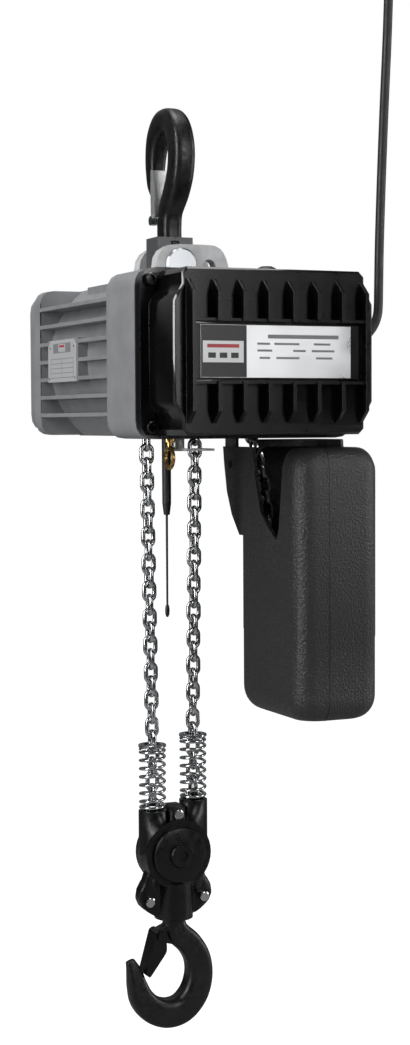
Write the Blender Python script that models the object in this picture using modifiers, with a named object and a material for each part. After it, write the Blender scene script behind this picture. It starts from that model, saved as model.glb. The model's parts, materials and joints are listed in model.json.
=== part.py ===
"""Electric chain hoist with a swivelling top hook, two falls of chain, a load block and a chain container.

Metres, +Z up. The origin is the inner saddle of the top hook, and the load line is the Z axis.
The front cover faces -Y, the motor points along +Y and the chain container hangs at +X."""

import math

import bmesh
import bpy
from mathutils import Matrix, Vector

GAP = 0.0003  # clearance between pieces that touch

# Chain
LINK_WIRE = 0.005
LINK_WIDTH = 0.017
FALL_HALF_TOP = 0.0295  # half the distance between the falls where they enter the body
FALL_HALF_BLOCK = 0.0244  # and where they enter the load block
FALL_TOP_Z = -0.290
FALL_BOTTOM_Z = -0.762

# Top hook and suspension
HOOK_EYE = 0.034
HOOK_CROWN = 0.0135
SHANK_RADIUS = 0.0135
SHANK_BOTTOM_Z = -0.1215
BLOCK_TOP_Z = -0.113
BLOCK_HALF_X = 0.021
BLOCK_HALF_Y = 0.016
PIN_Z = -0.144
PIN_RADIUS = 0.018
PIN_PROUD = 0.0025
LUG_THICK = 0.016
LUG_TOP_Z = -0.122
LUG_LEFT_X = -0.029
LUG_RIGHT_X = 0.058
LUG_BASE_TOP_Z = -0.170
LUG_BASE_THICK = 0.008
SMALL_BORE_RADIUS = 0.0085
SMALL_BORE_X = 0.0325
SMALL_BORE_Z = -0.146

# Hoist body
BODY_X = 0.060
BODY_WIDTH = 0.250
BODY_TOP_Z = -0.151
BODY_HEIGHT = 0.180
BODY_CORNER = 0.020
RING_FRONT_Y = -0.058
RING_DEPTH = 0.080
RING_WALL = 0.008
MOTOR_LENGTH = 0.255
MOTOR_FLANGE = 0.022
MOTOR_BARREL_RADIUS = 0.110
MOTOR_BARREL_HALF = 0.088
MOTOR_BORE_RADIUS = 0.074
END_CAP_DEPTH = 0.031
END_CAP_INSET = 0.008
RIB_COUNT = 7
RIB_PITCH = 0.0211
RIB_THICK = 0.0045
RIB_INSET = 0.0032
GASKET_THICK = 0.002
COVER_FLANGE = 0.013
COVER_DEPTH = 0.066
COVER_WALL = 0.005
COVER_INSET = 0.010
COVER_NOTCH_WIDTH = 0.010
COVER_NOTCH_HEIGHT = 0.023
FIN_COUNT = 8
FIN_PITCH = 0.0284
FIN_THICK = 0.0038
FIN_HEIGHT = 0.017
FIN_LENGTH = 0.147
FIN_SLOPE = 0.0124
PAD_HEIGHT = 0.062
COVER_SCREW_RADIUS = 0.0065
COVER_SCREW_X = 0.114  # from the body's middle
COVER_SCREW_Z = 0.0775

# Drive
WHEEL_X = 0.0585
WHEEL_RADIUS = 0.029
WHEEL_WIDTH = 0.022
SHAFT_RADIUS = 0.010
GEAR_RADIUS = 0.046
GEAR_WIDTH = 0.010
GEAR_TEETH = 20
STATOR_RADIUS = 0.070
STATOR_BORE = 0.046
STATOR_LENGTH = 0.090
ROTOR_RADIUS = 0.0445
BRAKE_RADIUS = 0.055
BEARING_RADIUS = 0.0205

# Load block and bottom hook
SEAT_Z = {"left": -0.7406, "right": -0.7322}
SPRING_LENGTH = 0.0735
SPRING_TOP_Z = SEAT_Z["right"] + SPRING_LENGTH
SPRING_CAP_THICK = 0.003
SPRING_COIL_RADIUS = 0.0135
SPRING_WIRE_RADIUS = 0.0016
SPRING_TURNS = 8.5
SPRING_CAP_RADIUS = 0.0155
SPRING_CAP_BORE = 0.0098
WEB_TOP_Z = -0.7365
WEB_HALF_X = 0.0090
WEB_HALF_Y = 0.0125
LOBE_HALF_Y = 0.0080
TUBE_RADIUS = 0.0158
BOSS_RADIUS = 0.0385
BOSS_HALF_Y = 0.0165
BARREL_RADIUS = 0.0215
SHELL_LOW_Z = -0.8625
SHEAVE_Z = -0.789
SHEAVE_RADIUS = 0.0300
SHEAVE_WIDTH = 0.020
AXLE_RADIUS = 0.008
CAP_RADIUS = 0.031
NECK_RADIUS = 0.012
COLLAR_RADIUS = 0.018

# Chain container
BIN_LOW = (0.087, -0.139, -0.634)
BIN_HIGH = (0.187, 0.016, -0.341)
BIN_WALL = 0.003
EAR_BACK_Y = 0.053
EAR_THICK = 0.004
COLLAR_FRONT_Y = -0.057
COLLAR_TOP_Z = -0.3328

# Power cable
CABLE_RADIUS = 0.00525
GLAND_Y = -0.020
GLAND_Z = -0.225

BODY_LEFT_X = BODY_X - BODY_WIDTH / 2
BODY_RIGHT_X = BODY_X + BODY_WIDTH / 2
BODY_BOTTOM_Z = BODY_TOP_Z - BODY_HEIGHT
BODY_Z = BODY_TOP_Z - BODY_HEIGHT / 2
RING_BACK_Y = RING_FRONT_Y + RING_DEPTH
MOTOR_BACK_Y = RING_BACK_Y + MOTOR_LENGTH
GASKET_FRONT_Y = RING_FRONT_Y - GASKET_THICK - GAP
FLANGE_FRONT_Y = GASKET_FRONT_Y - COVER_FLANGE - GAP
COVER_FRONT_Y = FLANGE_FRONT_Y - COVER_DEPTH
LUG_INNER_Y = BLOCK_HALF_Y + 0.001
LUG_OUTER_Y = LUG_INNER_Y + LUG_THICK

FRONT = Matrix.Rotation(math.pi / 2, 4, "X")  # an outline's x, y lie along X, Z and its depth along -Y
SIDE = Matrix(((0, 0, 1, 0), (1, 0, 0, 0), (0, 1, 0, 0), (0, 0, 0, 1)))  # x, y along Y, Z; depth along X


# ---------------------------------------------------------------- scene and finishes


def cleared_scene():
    for obj in list(bpy.data.objects):
        bpy.data.objects.remove(obj, do_unlink=True)
    made = []
    for name in ("chain_hoist", "cutters"):
        collection = bpy.data.collections.new(name)
        bpy.context.scene.collection.children.link(collection)
        made.append(collection)
    made[1].hide_render = True
    return made


PARTS, CUTTERS = cleared_scene()


def finish(name, colour, roughness, metallic=0.0):
    made = bpy.data.materials.new(name)
    made.use_nodes = True
    shader = made.node_tree.nodes["Principled BSDF"]
    shader.inputs["Base Color"].default_value = (*colour, 1.0)
    shader.inputs["Roughness"].default_value = roughness
    shader.inputs["Metallic"].default_value = metallic
    return made


GREY_PAINT = finish("grey_paint", (0.30, 0.30, 0.31), 0.45)
DARK_PAINT = finish("dark_grey_paint", (0.07, 0.07, 0.075), 0.45)
BLACK_PAINT = finish("gloss_black_paint", (0.010, 0.010, 0.011), 0.25)
FORGED = finish("black_forged_steel", (0.03, 0.03, 0.032), 0.38, 0.3)
BRIGHT = finish("bright_zinc", (0.70, 0.70, 0.72), 0.22, 1.0)
GALVANISED = finish("galvanised_sheet", (0.50, 0.50, 0.50), 0.42, 0.8)
YELLOW_ZINC = finish("yellow_zinc", (0.60, 0.42, 0.16), 0.30, 1.0)
STEEL = finish("machined_steel", (0.45, 0.45, 0.47), 0.35, 1.0)
COPPER = finish("winding_copper", (0.70, 0.30, 0.15), 0.4, 1.0)
RUBBER = finish("black_rubber", (0.012, 0.012, 0.012), 0.7)
BIN_PLASTIC = finish("black_polyethylene", (0.020, 0.020, 0.021), 0.55)
LABEL = finish("brushed_label", (0.62, 0.62, 0.63), 0.30, 0.9)
BOARD = finish("green_board", (0.02, 0.12, 0.05), 0.5)


# ---------------------------------------------------------------- shape helpers


def placed(name, data, look, matrix=None, cutter=False):
    obj = bpy.data.objects.new(name, data)
    (CUTTERS if cutter else PARTS).objects.link(obj)
    obj.matrix_world = matrix or Matrix.Identity(4)
    if cutter:
        obj.hide_render = True
        obj.display_type = "WIRE"
    elif look:
        data.materials.append(look)
    return obj


def mesh_from(name, work):
    mesh = bpy.data.meshes.new(name)
    bmesh.ops.recalc_face_normals(work, faces=work.faces)
    work.to_mesh(mesh)
    work.free()
    return mesh


def block(name, low, high, look, cutter=False):
    """A box between two corners."""
    work = bmesh.new()
    middle = (Vector(low) + Vector(high)) / 2
    size = Vector(high) - Vector(low)
    bmesh.ops.create_cube(work, size=1.0, matrix=Matrix.Diagonal((*size, 1.0)))
    return placed(name, mesh_from(name, work), look, Matrix.Translation(middle), cutter)


def rod(name, start, end, radius, look, sides=32, cutter=False):
    """A cylinder between two points."""
    work = bmesh.new()
    run = Vector(end) - Vector(start)
    bmesh.ops.create_cone(
        work, cap_ends=True, segments=sides, radius1=radius, radius2=radius, depth=run.length
    )
    turn = run.to_track_quat("Z", "Y").to_matrix().to_4x4()
    matrix = Matrix.Translation((Vector(start) + Vector(end)) / 2) @ turn
    obj = placed(name, mesh_from(name, work), look, matrix, cutter)
    soften(obj)
    return obj


def soften(obj):
    obj.data.shade_smooth()
    obj.data.set_sharp_from_angle(angle=math.radians(35))


def turned(name, profile, look, centre, axis="Y", steps=20, ring=False):
    """A turned shape about an axis through centre: (radius, height) points from the top down the outer side."""
    mesh = bpy.data.meshes.new(name)
    count = len(profile)
    edges = [(i, i + 1) for i in range(count - 1)] + ([(count - 1, 0)] if ring else [])
    mesh.from_pydata([(r, 0, h) for r, h in profile], edges, [])
    turns = {"X": SIDE, "Y": Matrix.Rotation(-math.pi / 2, 4, "X"), "Z": Matrix.Identity(4)}
    obj = placed(name, mesh, look, Matrix.Translation(centre) @ turns[axis])
    screw = obj.modifiers.new("turn", "SCREW")
    screw.steps = screw.render_steps = steps
    screw.use_merge_vertices = True
    screw.merge_threshold = 0.00001
    screw.use_smooth_shade = False
    return obj


def plate(name, outline, thickness, look, matrix, holes=(), cutter=False):
    """A flat outline of thickness, centred on its plane, with holes through it."""
    curve = bpy.data.curves.new(name, "CURVE")
    curve.dimensions = "2D"
    curve.fill_mode = "BOTH"
    curve.extrude = thickness / 2
    for loop in (outline, *holes):
        spline = curve.splines.new("POLY")
        spline.points.add(len(loop) - 1)
        for point, (x, y) in zip(spline.points, loop):
            point.co = (x, y, 0.0, 1.0)
        spline.use_cyclic_u = True
    return as_mesh(placed(name, curve, look, matrix, cutter), cutter)


def wire(name, points, radius, look, closed=False, resolution=2):
    """A round wire along points."""
    curve = bpy.data.curves.new(name, "CURVE")
    curve.dimensions = "3D"
    curve.bevel_depth = radius
    curve.bevel_resolution = resolution
    curve.use_fill_caps = not closed
    spline = curve.splines.new("POLY")
    spline.points.add(len(points) - 1)
    for point, place in zip(spline.points, points):
        point.co = (*place, 1.0)
    spline.use_cyclic_u = closed
    return as_mesh(placed(name, curve, look))


def as_mesh(obj, cutter=False):
    """The same object as a closed mesh."""
    bpy.context.view_layer.update()
    graph = bpy.context.evaluated_depsgraph_get()
    mesh = bpy.data.meshes.new_from_object(obj.evaluated_get(graph))
    work = bmesh.new()
    work.from_mesh(mesh)
    bmesh.ops.remove_doubles(work, verts=work.verts, dist=0.000002)
    bmesh.ops.recalc_face_normals(work, faces=work.faces)
    work.to_mesh(mesh)
    work.free()
    name, matrix, data = obj.name, obj.matrix_world.copy(), obj.data
    bpy.data.objects.remove(obj)
    bpy.data.curves.remove(data)
    mesh.name = name
    made = placed(name, mesh, None, matrix, cutter)
    soften(made)
    return made


def loft(name, rings, look, cutter=False):
    """A closed skin over rings, which are loops of the same number of points."""
    work = bmesh.new()
    rows = [[work.verts.new(point) for point in ring] for ring in rings]
    count = len(rows[0])
    for one, two in zip(rows, rows[1:]):
        for i in range(count):
            work.faces.new((one[i], one[(i + 1) % count], two[(i + 1) % count], two[i]))
    work.faces.new(rows[0])
    work.faces.new(rows[-1])
    obj = placed(name, mesh_from(name, work), look, None, cutter)
    soften(obj)
    return obj


def rounded(obj, width, segments=2, angle=30):
    bevel = obj.modifiers.new("edges", "BEVEL")
    bevel.width = width
    bevel.segments = segments
    bevel.limit_method = "ANGLE"
    bevel.angle_limit = math.radians(angle)
    return obj


def combine(obj, other, operation="DIFFERENCE"):
    """Cuts the other from the object, or joins it on; the other becomes a cutter."""
    change = obj.modifiers.new(operation.lower(), "BOOLEAN")
    change.operation = operation
    change.object = other
    change.solver = "EXACT"
    if other.name not in CUTTERS.objects:
        PARTS.objects.unlink(other)
        CUTTERS.objects.link(other)
    other.hide_render = True
    other.display_type = "WIRE"
    return obj


def circle(x, y, radius, sides=32):
    return [
        (x + radius * math.cos(2 * math.pi * i / sides), y + radius * math.sin(2 * math.pi * i / sides))
        for i in range(sides)
    ]


def rounded_outline(corners, radius, steps=4):
    """The polygon through corners, each corner turned into a bend that starts radius away from it."""
    points = []
    count = len(corners)
    for i, corner in enumerate(corners):
        here = Vector(corner)
        before, after = Vector(corners[i - 1]), Vector(corners[(i + 1) % count])
        reach = min(radius, (before - here).length * 0.48, (after - here).length * 0.48)
        start = here + (before - here).normalized() * reach
        end = here + (after - here).normalized() * reach
        for k in range(steps + 1):
            t = k / steps
            points.append(tuple(start * (1 - t) ** 2 + here * 2 * t * (1 - t) + end * t * t))
    return points


def rectangle(left, right, bottom, top, radius, steps=4):
    corners = [(left, bottom), (right, bottom), (right, top), (left, top)]
    return rounded_outline(corners, radius, steps)


def smooth_path(points, count):
    """Points spread evenly in parameter along a Catmull-Rom curve through points of any dimension."""
    ends = [2 * Vector(points[0]) - Vector(points[1]), *map(Vector, points)]
    ends.append(2 * Vector(points[-1]) - Vector(points[-2]))
    spans = len(points) - 1
    made = []
    for i in range(count):
        place = i * spans / (count - 1)
        k = min(int(place), spans - 1)
        t = place - k
        a, b, c, d = ends[k : k + 4]
        made.append(
            0.5 * (2 * b + (c - a) * t + (2 * a - 5 * b + 4 * c - d) * t**2 + (3 * b - a - 3 * c + d) * t**3)
        )
    return made


def forged(name, route, thickness, look, across, along):
    """A forged bar: ovals, flattened to a share of thickness, carried along a route of (u, v, radius)."""
    sides, count = 10, 22
    path = smooth_path(route, count)
    rings = []
    for i, point in enumerate(path):
        ahead, behind = path[min(i + 1, count - 1)], path[max(i - 1, 0)]
        heading = (across * (ahead[0] - behind[0]) + along * (ahead[1] - behind[1])).normalized()
        level = across.cross(along)
        outward = heading.cross(level)
        centre = across * point[0] + along * point[1]
        rings.append(
            [
                centre
                + outward * point[2] * math.cos(2 * math.pi * k / sides)
                + level * point[2] * thickness * math.sin(2 * math.pi * k / sides)
                for k in range(sides)
            ]
        )
    return loft(name, rings, look)


X_AXIS, Y_AXIS, Z_AXIS = Vector((1, 0, 0)), Vector((0, 1, 0)), Vector((0, 0, 1))

# ---------------------------------------------------------------- top hook and suspension

TOP_PIVOT = (0.0195, -0.0926)  # Y, Z
LATCH_HALF = 0.011
LATCH_SHEET = 0.0015
LUG_HALF = 0.006
LATCH_PIN_RADIUS = 0.003


def top_hook():
    crown = HOOK_CROWN
    eye = HOOK_EYE
    route = [
        (0.0, SHANK_BOTTOM_Z + 0.006, SHANK_RADIUS),
        (0.0, -0.100, SHANK_RADIUS),
        (-0.004, -0.083, SHANK_RADIUS),
        (-0.020, -0.064, 0.0145),
        (-0.031, -0.045, 0.0148),
        (-eye, -0.022, 0.0148),
        (-0.027, -0.002, 0.0145),
        (-0.015, 0.0095, 0.0138),
        (0.0, crown, crown),
        (0.017, 0.0105, 0.0135),
        (0.031, -0.003, 0.0130),
        (0.0375, -0.022, 0.0118),
        (0.0390, -0.040, 0.0105),
        (0.0405, -0.053, 0.0085),
        (0.0420, -0.062, 0.0050),
    ]
    hook = forged("top_hook", route, 0.86, FORGED, Y_AXIS, Z_AXIS)
    collar = turned(
        "top_hook_collar",
        [
            (0, BLOCK_TOP_Z - 0.002),
            (SHANK_RADIUS - 0.001, BLOCK_TOP_Z - 0.002),
            (SHANK_RADIUS - 0.001, SHANK_BOTTOM_Z + 0.004),
            (SHANK_RADIUS + 0.003, SHANK_BOTTOM_Z + 0.004),
            (SHANK_RADIUS + 0.003, SHANK_BOTTOM_Z),
            (0, SHANK_BOTTOM_Z),
        ],
        FORGED,
        (0, 0, 0),
        "Z",
    )
    y, z = TOP_PIVOT
    lug = plate(
        "top_hook_lug",
        rounded_outline(
            [
                (0.002, z - 0.011), (y + 0.002, z - 0.007), (y + 0.0038, z), (y + 0.002, z + 0.007),
                (0.002, z + 0.012),
            ],
            0.005,
        ),
        2 * LUG_HALF,
        FORGED,
        SIDE,
    )
    bore = rod("top_hook_lug_bore", (-0.02, y, z), (0.02, y, z), LATCH_PIN_RADIUS + GAP, None, 16, True)
    combine(hook, collar, "UNION")
    combine(hook, lug, "UNION")
    combine(hook, bore)
    return hook


def latch(name, outline, pivot, matrix, axis, opening):
    """A sheet latch: a channel whose two cheeks straddle the lug on the hook."""
    made = plate(name, outline, 2 * LATCH_HALF, GALVANISED, matrix)
    inside = plate(name + "_inside", opening, 2 * (LATCH_HALF - LATCH_SHEET), None, matrix, cutter=True)
    centre = Vector((0, *pivot)) if axis == X_AXIS else Vector((pivot[0], 0, pivot[1]))
    bore = rod(
        name + "_bore", centre - axis * 0.02, centre + axis * 0.02, LATCH_PIN_RADIUS + GAP, None, 16, True,
    )
    combine(made, inside)
    combine(made, bore)
    return made


def latch_pin(name, pivot, axis):
    centre = Vector((0, *pivot)) if axis == X_AXIS else Vector((pivot[0], 0, pivot[1]))
    half = LATCH_HALF + 0.002
    pin = rod(name, centre - axis * half, centre + axis * half, LATCH_PIN_RADIUS, BRIGHT, 16)
    for side in (-1, 1):
        head = rod(
            f"{name}_head_{side}", centre + axis * side * (LATCH_HALF + 0.0004),
            centre + axis * side * (LATCH_HALF + 0.0035), 0.0052, BRIGHT, 16,
        )
        combine(pin, head, "UNION")
    return pin


def suspension_half(name, side):
    """Half of the swivel block, split along the plane through the shank and square to the pin's plates."""
    inner, outer = side * GAP / 2, side * BLOCK_HALF_X
    low, high = min(inner, outer), max(inner, outer)
    round_end = [
        (BLOCK_HALF_X * math.cos(a), PIN_Z + BLOCK_HALF_X * math.sin(a))
        for a in (math.pi + math.pi * i / 16 for i in range(17))
    ]
    outline = [*round_end, (BLOCK_HALF_X, BLOCK_TOP_Z), (-BLOCK_HALF_X, BLOCK_TOP_Z)]
    half = plate(name, outline, 2 * BLOCK_HALF_Y, DARK_PAINT, FRONT)
    rounded(half, 0.0012, 1)
    keep = block(name + "_keep", (low, -0.05, -0.3), (high, 0.05, 0.0), None, cutter=True)
    shank = rod(name + "_shank", (0, 0, SHANK_BOTTOM_Z), (0, 0, 0), SHANK_RADIUS + GAP, None, 32, True)
    groove = rod(
        name + "_groove", (0, 0, SHANK_BOTTOM_Z - GAP), (0, 0, SHANK_BOTTOM_Z + 0.004 + GAP),
        SHANK_RADIUS + 0.003 + GAP, None, 32, True,
    )
    pin = rod(name + "_pin", (0, -0.05, PIN_Z), (0, 0.05, PIN_Z), PIN_RADIUS + GAP, None, 28, True)
    combine(half, keep, "INTERSECT")
    for cutter in (shank, groove, pin):
        combine(half, cutter)
    return half


def suspension_pin():
    half = LUG_OUTER_Y + PIN_PROUD
    radius = PIN_RADIUS
    return turned(
        "suspension_pin",
        [
            (0, half), (radius - 0.002, half), (radius, half - 0.002), (radius, 0.002 - half),
            (radius - 0.002, -half), (0, -half),
        ],
        BRIGHT,
        (0, 0, PIN_Z),
        steps=28,
    )


def suspension_bracket():
    """Two upright lugs on one base that sits in the recess in the housing's top."""
    low = LUG_BASE_TOP_Z - LUG_BASE_THICK
    outline = rounded_outline(
        [
            (LUG_LEFT_X, low), (LUG_RIGHT_X, low), (LUG_RIGHT_X, BODY_TOP_Z),
            (LUG_RIGHT_X - 0.010, LUG_TOP_Z), (LUG_LEFT_X, LUG_TOP_Z),
        ],
        0.026,
        4,
    )
    holes = (
        circle(0, PIN_Z, PIN_RADIUS + GAP, 28), circle(SMALL_BORE_X, SMALL_BORE_Z, SMALL_BORE_RADIUS, 16),
    )
    lugs = []
    for number, side in enumerate((-1, 1)):
        lug = plate(
            "suspension_bracket" if number == 0 else "suspension_bracket_back",
            outline, LUG_THICK, GREY_PAINT,
            Matrix.Translation((0, side * (LUG_INNER_Y + LUG_THICK / 2), 0)) @ FRONT, holes,
        )
        lugs.append(lug)
    base = block(
        "suspension_bracket_base",
        (LUG_LEFT_X + 0.014, -LUG_INNER_Y - 0.004, low + 0.0004),
        (LUG_RIGHT_X - 0.014, LUG_INNER_Y + 0.004, LUG_BASE_TOP_Z),
        GREY_PAINT,
    )
    combine(lugs[0], base, "UNION")
    combine(lugs[0], lugs[1], "UNION")
    return lugs[0]


# ---------------------------------------------------------------- hoist body


def body_outline(inset=0.0, corner=BODY_CORNER):
    """The rounded rectangle of the hoist body, from the front, in X and Z."""
    return rectangle(
        BODY_LEFT_X + inset, BODY_RIGHT_X - inset, BODY_BOTTOM_Z + inset, BODY_TOP_Z - inset, corner - inset * 0.5
    )


def slab(name, outline, y_front, y_back, look, holes=(), cutter=False):
    """An outline in X and Z carried from y_front back to y_back."""
    matrix = Matrix.Translation((0, (y_front + y_back) / 2, 0)) @ FRONT
    return plate(name, outline, y_back - y_front, look, matrix, holes, cutter)


SLACK_X = WHEEL_X + WHEEL_RADIUS + 0.0015
CHAIN_BORE = LINK_WIDTH / 2 + 0.003
SLACK_BORE = CHAIN_BORE + 0.005
SLACK_BORE_X = SLACK_X + 0.006
LIMIT_BOSS_X = 0.0085
LIMIT_BOSS_RADIUS = 0.0072
LIMIT_PLATE_Z = -0.3435
LIMIT_PLATE_THICK = 0.0025


def chain_bores(name):
    """Cutters for the chain's ways down through a floor."""
    ways = ((-FALL_HALF_TOP, CHAIN_BORE), (FALL_HALF_TOP, CHAIN_BORE), (SLACK_BORE_X, SLACK_BORE))
    return [
        rod(
            f"{name}_{i}", (x, 0, BODY_BOTTOM_Z - 0.02), (x, 0, BODY_BOTTOM_Z + 0.08), radius, None, 20, True
        )
        for i, (x, radius) in enumerate(ways)
    ]


def bracket_recess(name):
    margin = GAP * 2
    reach = LUG_OUTER_Y + PIN_PROUD + 0.001
    return block(
        name,
        (LUG_LEFT_X - margin, -reach, LUG_BASE_TOP_Z - LUG_BASE_THICK - margin),
        (LUG_RIGHT_X + margin, reach, 0.0),
        None,
        cutter=True,
    )


def center_housing():
    ring = slab(
        "center_housing", body_outline(), RING_FRONT_Y, RING_BACK_Y, GREY_PAINT, [body_outline(RING_WALL)],
    )
    boss = block(
        "center_housing_boss", (WHEEL_X - 0.012, RING_FRONT_Y + 0.012, BODY_BOTTOM_Z + 0.003),
        (WHEEL_X + 0.012, RING_BACK_Y - 0.012, BODY_BOTTOM_Z + 0.014), GREY_PAINT,
    )
    pocket = block(
        "center_housing_pocket",
        (LUG_LEFT_X - 0.008, RING_FRONT_Y + 0.010, LUG_BASE_TOP_Z - LUG_BASE_THICK - 0.009),
        (LUG_RIGHT_X + 0.008, RING_BACK_Y - 0.0085, BODY_TOP_Z - 0.003), GREY_PAINT,
    )
    combine(ring, boss, "UNION")
    combine(ring, pocket, "UNION")
    combine(ring, bracket_recess("center_housing_recess"))
    for bore in chain_bores("center_housing_bore"):
        combine(ring, bore)
    limit_bore = rod(
        "center_housing_limit_bore", (LIMIT_BOSS_X, 0, BODY_BOTTOM_Z - 0.01),
        (LIMIT_BOSS_X, 0, BODY_BOTTOM_Z + RING_WALL + 0.005),
        LIMIT_BOSS_RADIUS + 0.0006, None, 20, True,
    )
    return combine(ring, limit_bore)


def cover_gasket():
    return slab(
        "cover_gasket", body_outline(0.0006), GASKET_FRONT_Y, RING_FRONT_Y - GAP, RUBBER, [
            body_outline(RING_WALL + 0.004),
        ]
    )


def cover_screws():
    made = []
    for number, (side, level) in enumerate(((-1, 1), (1, 1), (-1, -1), (1, -1)), 1):
        x, z = BODY_X + side * COVER_SCREW_X, BODY_Z + level * COVER_SCREW_Z
        y = FLANGE_FRONT_Y - GAP
        screw = turned(
            f"cover_screw_{number}",
            [
                (0, 0.012), (0.0038, 0.012), (0.0038, 0), (COVER_SCREW_RADIUS, 0),
                (COVER_SCREW_RADIUS, -0.0065),
                (COVER_SCREW_RADIUS - 0.0008, -0.0073), (0.0033, -0.0073), (0.0033, -0.0035), (0, -0.0035),
            ],
            BLACK_PAINT,
            (x, y, z),
            steps=12,
        )
        made.append((screw, x, z))
    return made


def cover_box_outline(inset=0.0):
    """The raised box of the cover: a rectangle with a step at each corner that clears the screws."""
    left = BODY_LEFT_X + COVER_INSET + inset
    right = BODY_RIGHT_X - COVER_INSET - inset
    low, high = BODY_BOTTOM_Z + 0.004 + inset, BODY_TOP_Z - 0.004 - inset
    w, h = COVER_NOTCH_WIDTH, COVER_NOTCH_HEIGHT
    corners = [
        (left + w, low), (right - w, low), (right - w, low + h), (right, low + h + w * 0.6),
        (right, high - h - w * 0.6),
        (right - w, high - h), (right - w, high), (left + w, high), (left + w, high - h),
        (left, high - h - w * 0.6),
        (left, low + h + w * 0.6), (left + w, low + h),
    ]
    return rounded_outline(corners, 0.006, 1)


def fin_outline(length):
    """Side view of a fin in Y and Z: straight outer edge, sloping ends with a small foot."""
    root = COVER_FRONT_Y + 0.002
    top = BODY_Z + length / 2
    low = BODY_Z - length / 2
    face = COVER_FRONT_Y - FIN_HEIGHT
    foot = COVER_FRONT_Y - 0.003
    return [
        (root, low), (foot, low), (face, low + FIN_SLOPE), (face, top - FIN_SLOPE), (foot, top), (root, top),
    ]


def front_cover():
    flange = slab(
        "front_cover", body_outline(), FLANGE_FRONT_Y, GASKET_FRONT_Y - GAP, BLACK_PAINT,
        [body_outline(0.016)],
    )
    box = slab("front_cover_box", cover_box_outline(), COVER_FRONT_Y, FLANGE_FRONT_Y + 0.004, BLACK_PAINT)
    inside = slab(
        "front_cover_inside", cover_box_outline(COVER_WALL), COVER_FRONT_Y + COVER_WALL, FLANGE_FRONT_Y + 0.03,
        None, cutter=True,
    )
    combine(flange, rounded(box, 0.0025, 1, 50), "UNION")
    combine(flange, inside)
    first = BODY_X - FIN_PITCH * (FIN_COUNT - 1) / 2
    for number in range(FIN_COUNT):
        x = first + FIN_PITCH * number
        fin = plate(
            f"front_cover_fin_{number}", fin_outline(FIN_LENGTH), FIN_THICK, BLACK_PAINT,
            Matrix.Translation((x, 0, 0)) @ SIDE,
        )
        if 0 < number < FIN_COUNT - 1:
            gap = block(
                f"front_cover_fin_gap_{number}",
                (x - FIN_THICK, COVER_FRONT_Y - 2 * FIN_HEIGHT, BODY_Z - PAD_HEIGHT / 2),
                (x + FIN_THICK, COVER_FRONT_Y - GAP, BODY_Z + PAD_HEIGHT / 2), None, cutter=True,
            )
            combine(fin, gap)
        combine(flange, fin, "UNION")
    for side in (-1, 1):
        z = BODY_Z + side * (PAD_HEIGHT / 2 + 0.001)
        ridge = block(
            f"front_cover_ridge_{side}", (first, COVER_FRONT_Y - FIN_HEIGHT + 0.004, z - 0.0015),
            (first + FIN_PITCH * (FIN_COUNT - 1), COVER_FRONT_Y + 0.002, z + 0.0015), BLACK_PAINT,
        )
        combine(flange, ridge, "UNION")
    pad = block(
        "front_cover_pad", (first + 0.004, COVER_FRONT_Y - 0.008, BODY_Z - PAD_HEIGHT / 2 + 0.003),
        (
            first + FIN_PITCH * (FIN_COUNT - 1) - 0.006, COVER_FRONT_Y + 0.002,
            BODY_Z + PAD_HEIGHT / 2 - 0.003,
        ),
        BLACK_PAINT,
    )
    combine(flange, pad, "UNION")
    for screw, x, z in cover_screws():
        bore = rod(f"front_cover_bore_{screw.name}", (x, -0.2, z), (x, 0.02, z), 0.0043, None, 16, True)
        combine(flange, bore)
        relief = rod(
            f"front_cover_relief_{screw.name}", (x, -0.2, z), (x, FLANGE_FRONT_Y, z),
            COVER_SCREW_RADIUS + 0.0015, None, 20, True,
        )
        combine(flange, relief)
    return flange


def name_plate():
    first = BODY_X - FIN_PITCH * (FIN_COUNT - 1) / 2
    face = COVER_FRONT_Y - 0.008 - GAP
    return block(
        "name_plate", (first + 0.010, face - 0.0008, BODY_Z - PAD_HEIGHT / 2 + 0.004),
        (first + FIN_PITCH * (FIN_COUNT - 1) - 0.016, face, BODY_Z + PAD_HEIGHT / 2 - 0.004), LABEL,
    )


def controller_board():
    """The controller card stands in the cover's hollow on four spacers."""
    y = FLANGE_FRONT_Y - 0.020
    card = block(
        "controller_board", (BODY_LEFT_X + 0.028, y, BODY_BOTTOM_Z + 0.032), (
            BODY_RIGHT_X - 0.028, y + 0.0016, BODY_TOP_Z - 0.032,
        ), BOARD
    )
    for column in range(4):
        x = BODY_LEFT_X + 0.060 + column * 0.042
        part = block(
            f"controller_part_{column}", (x, y - 0.018, BODY_Z - 0.030),
            (x + 0.018, y + 0.001, BODY_Z + 0.010), BOARD,
        )
        combine(card, part, "UNION")
    return card


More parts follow.
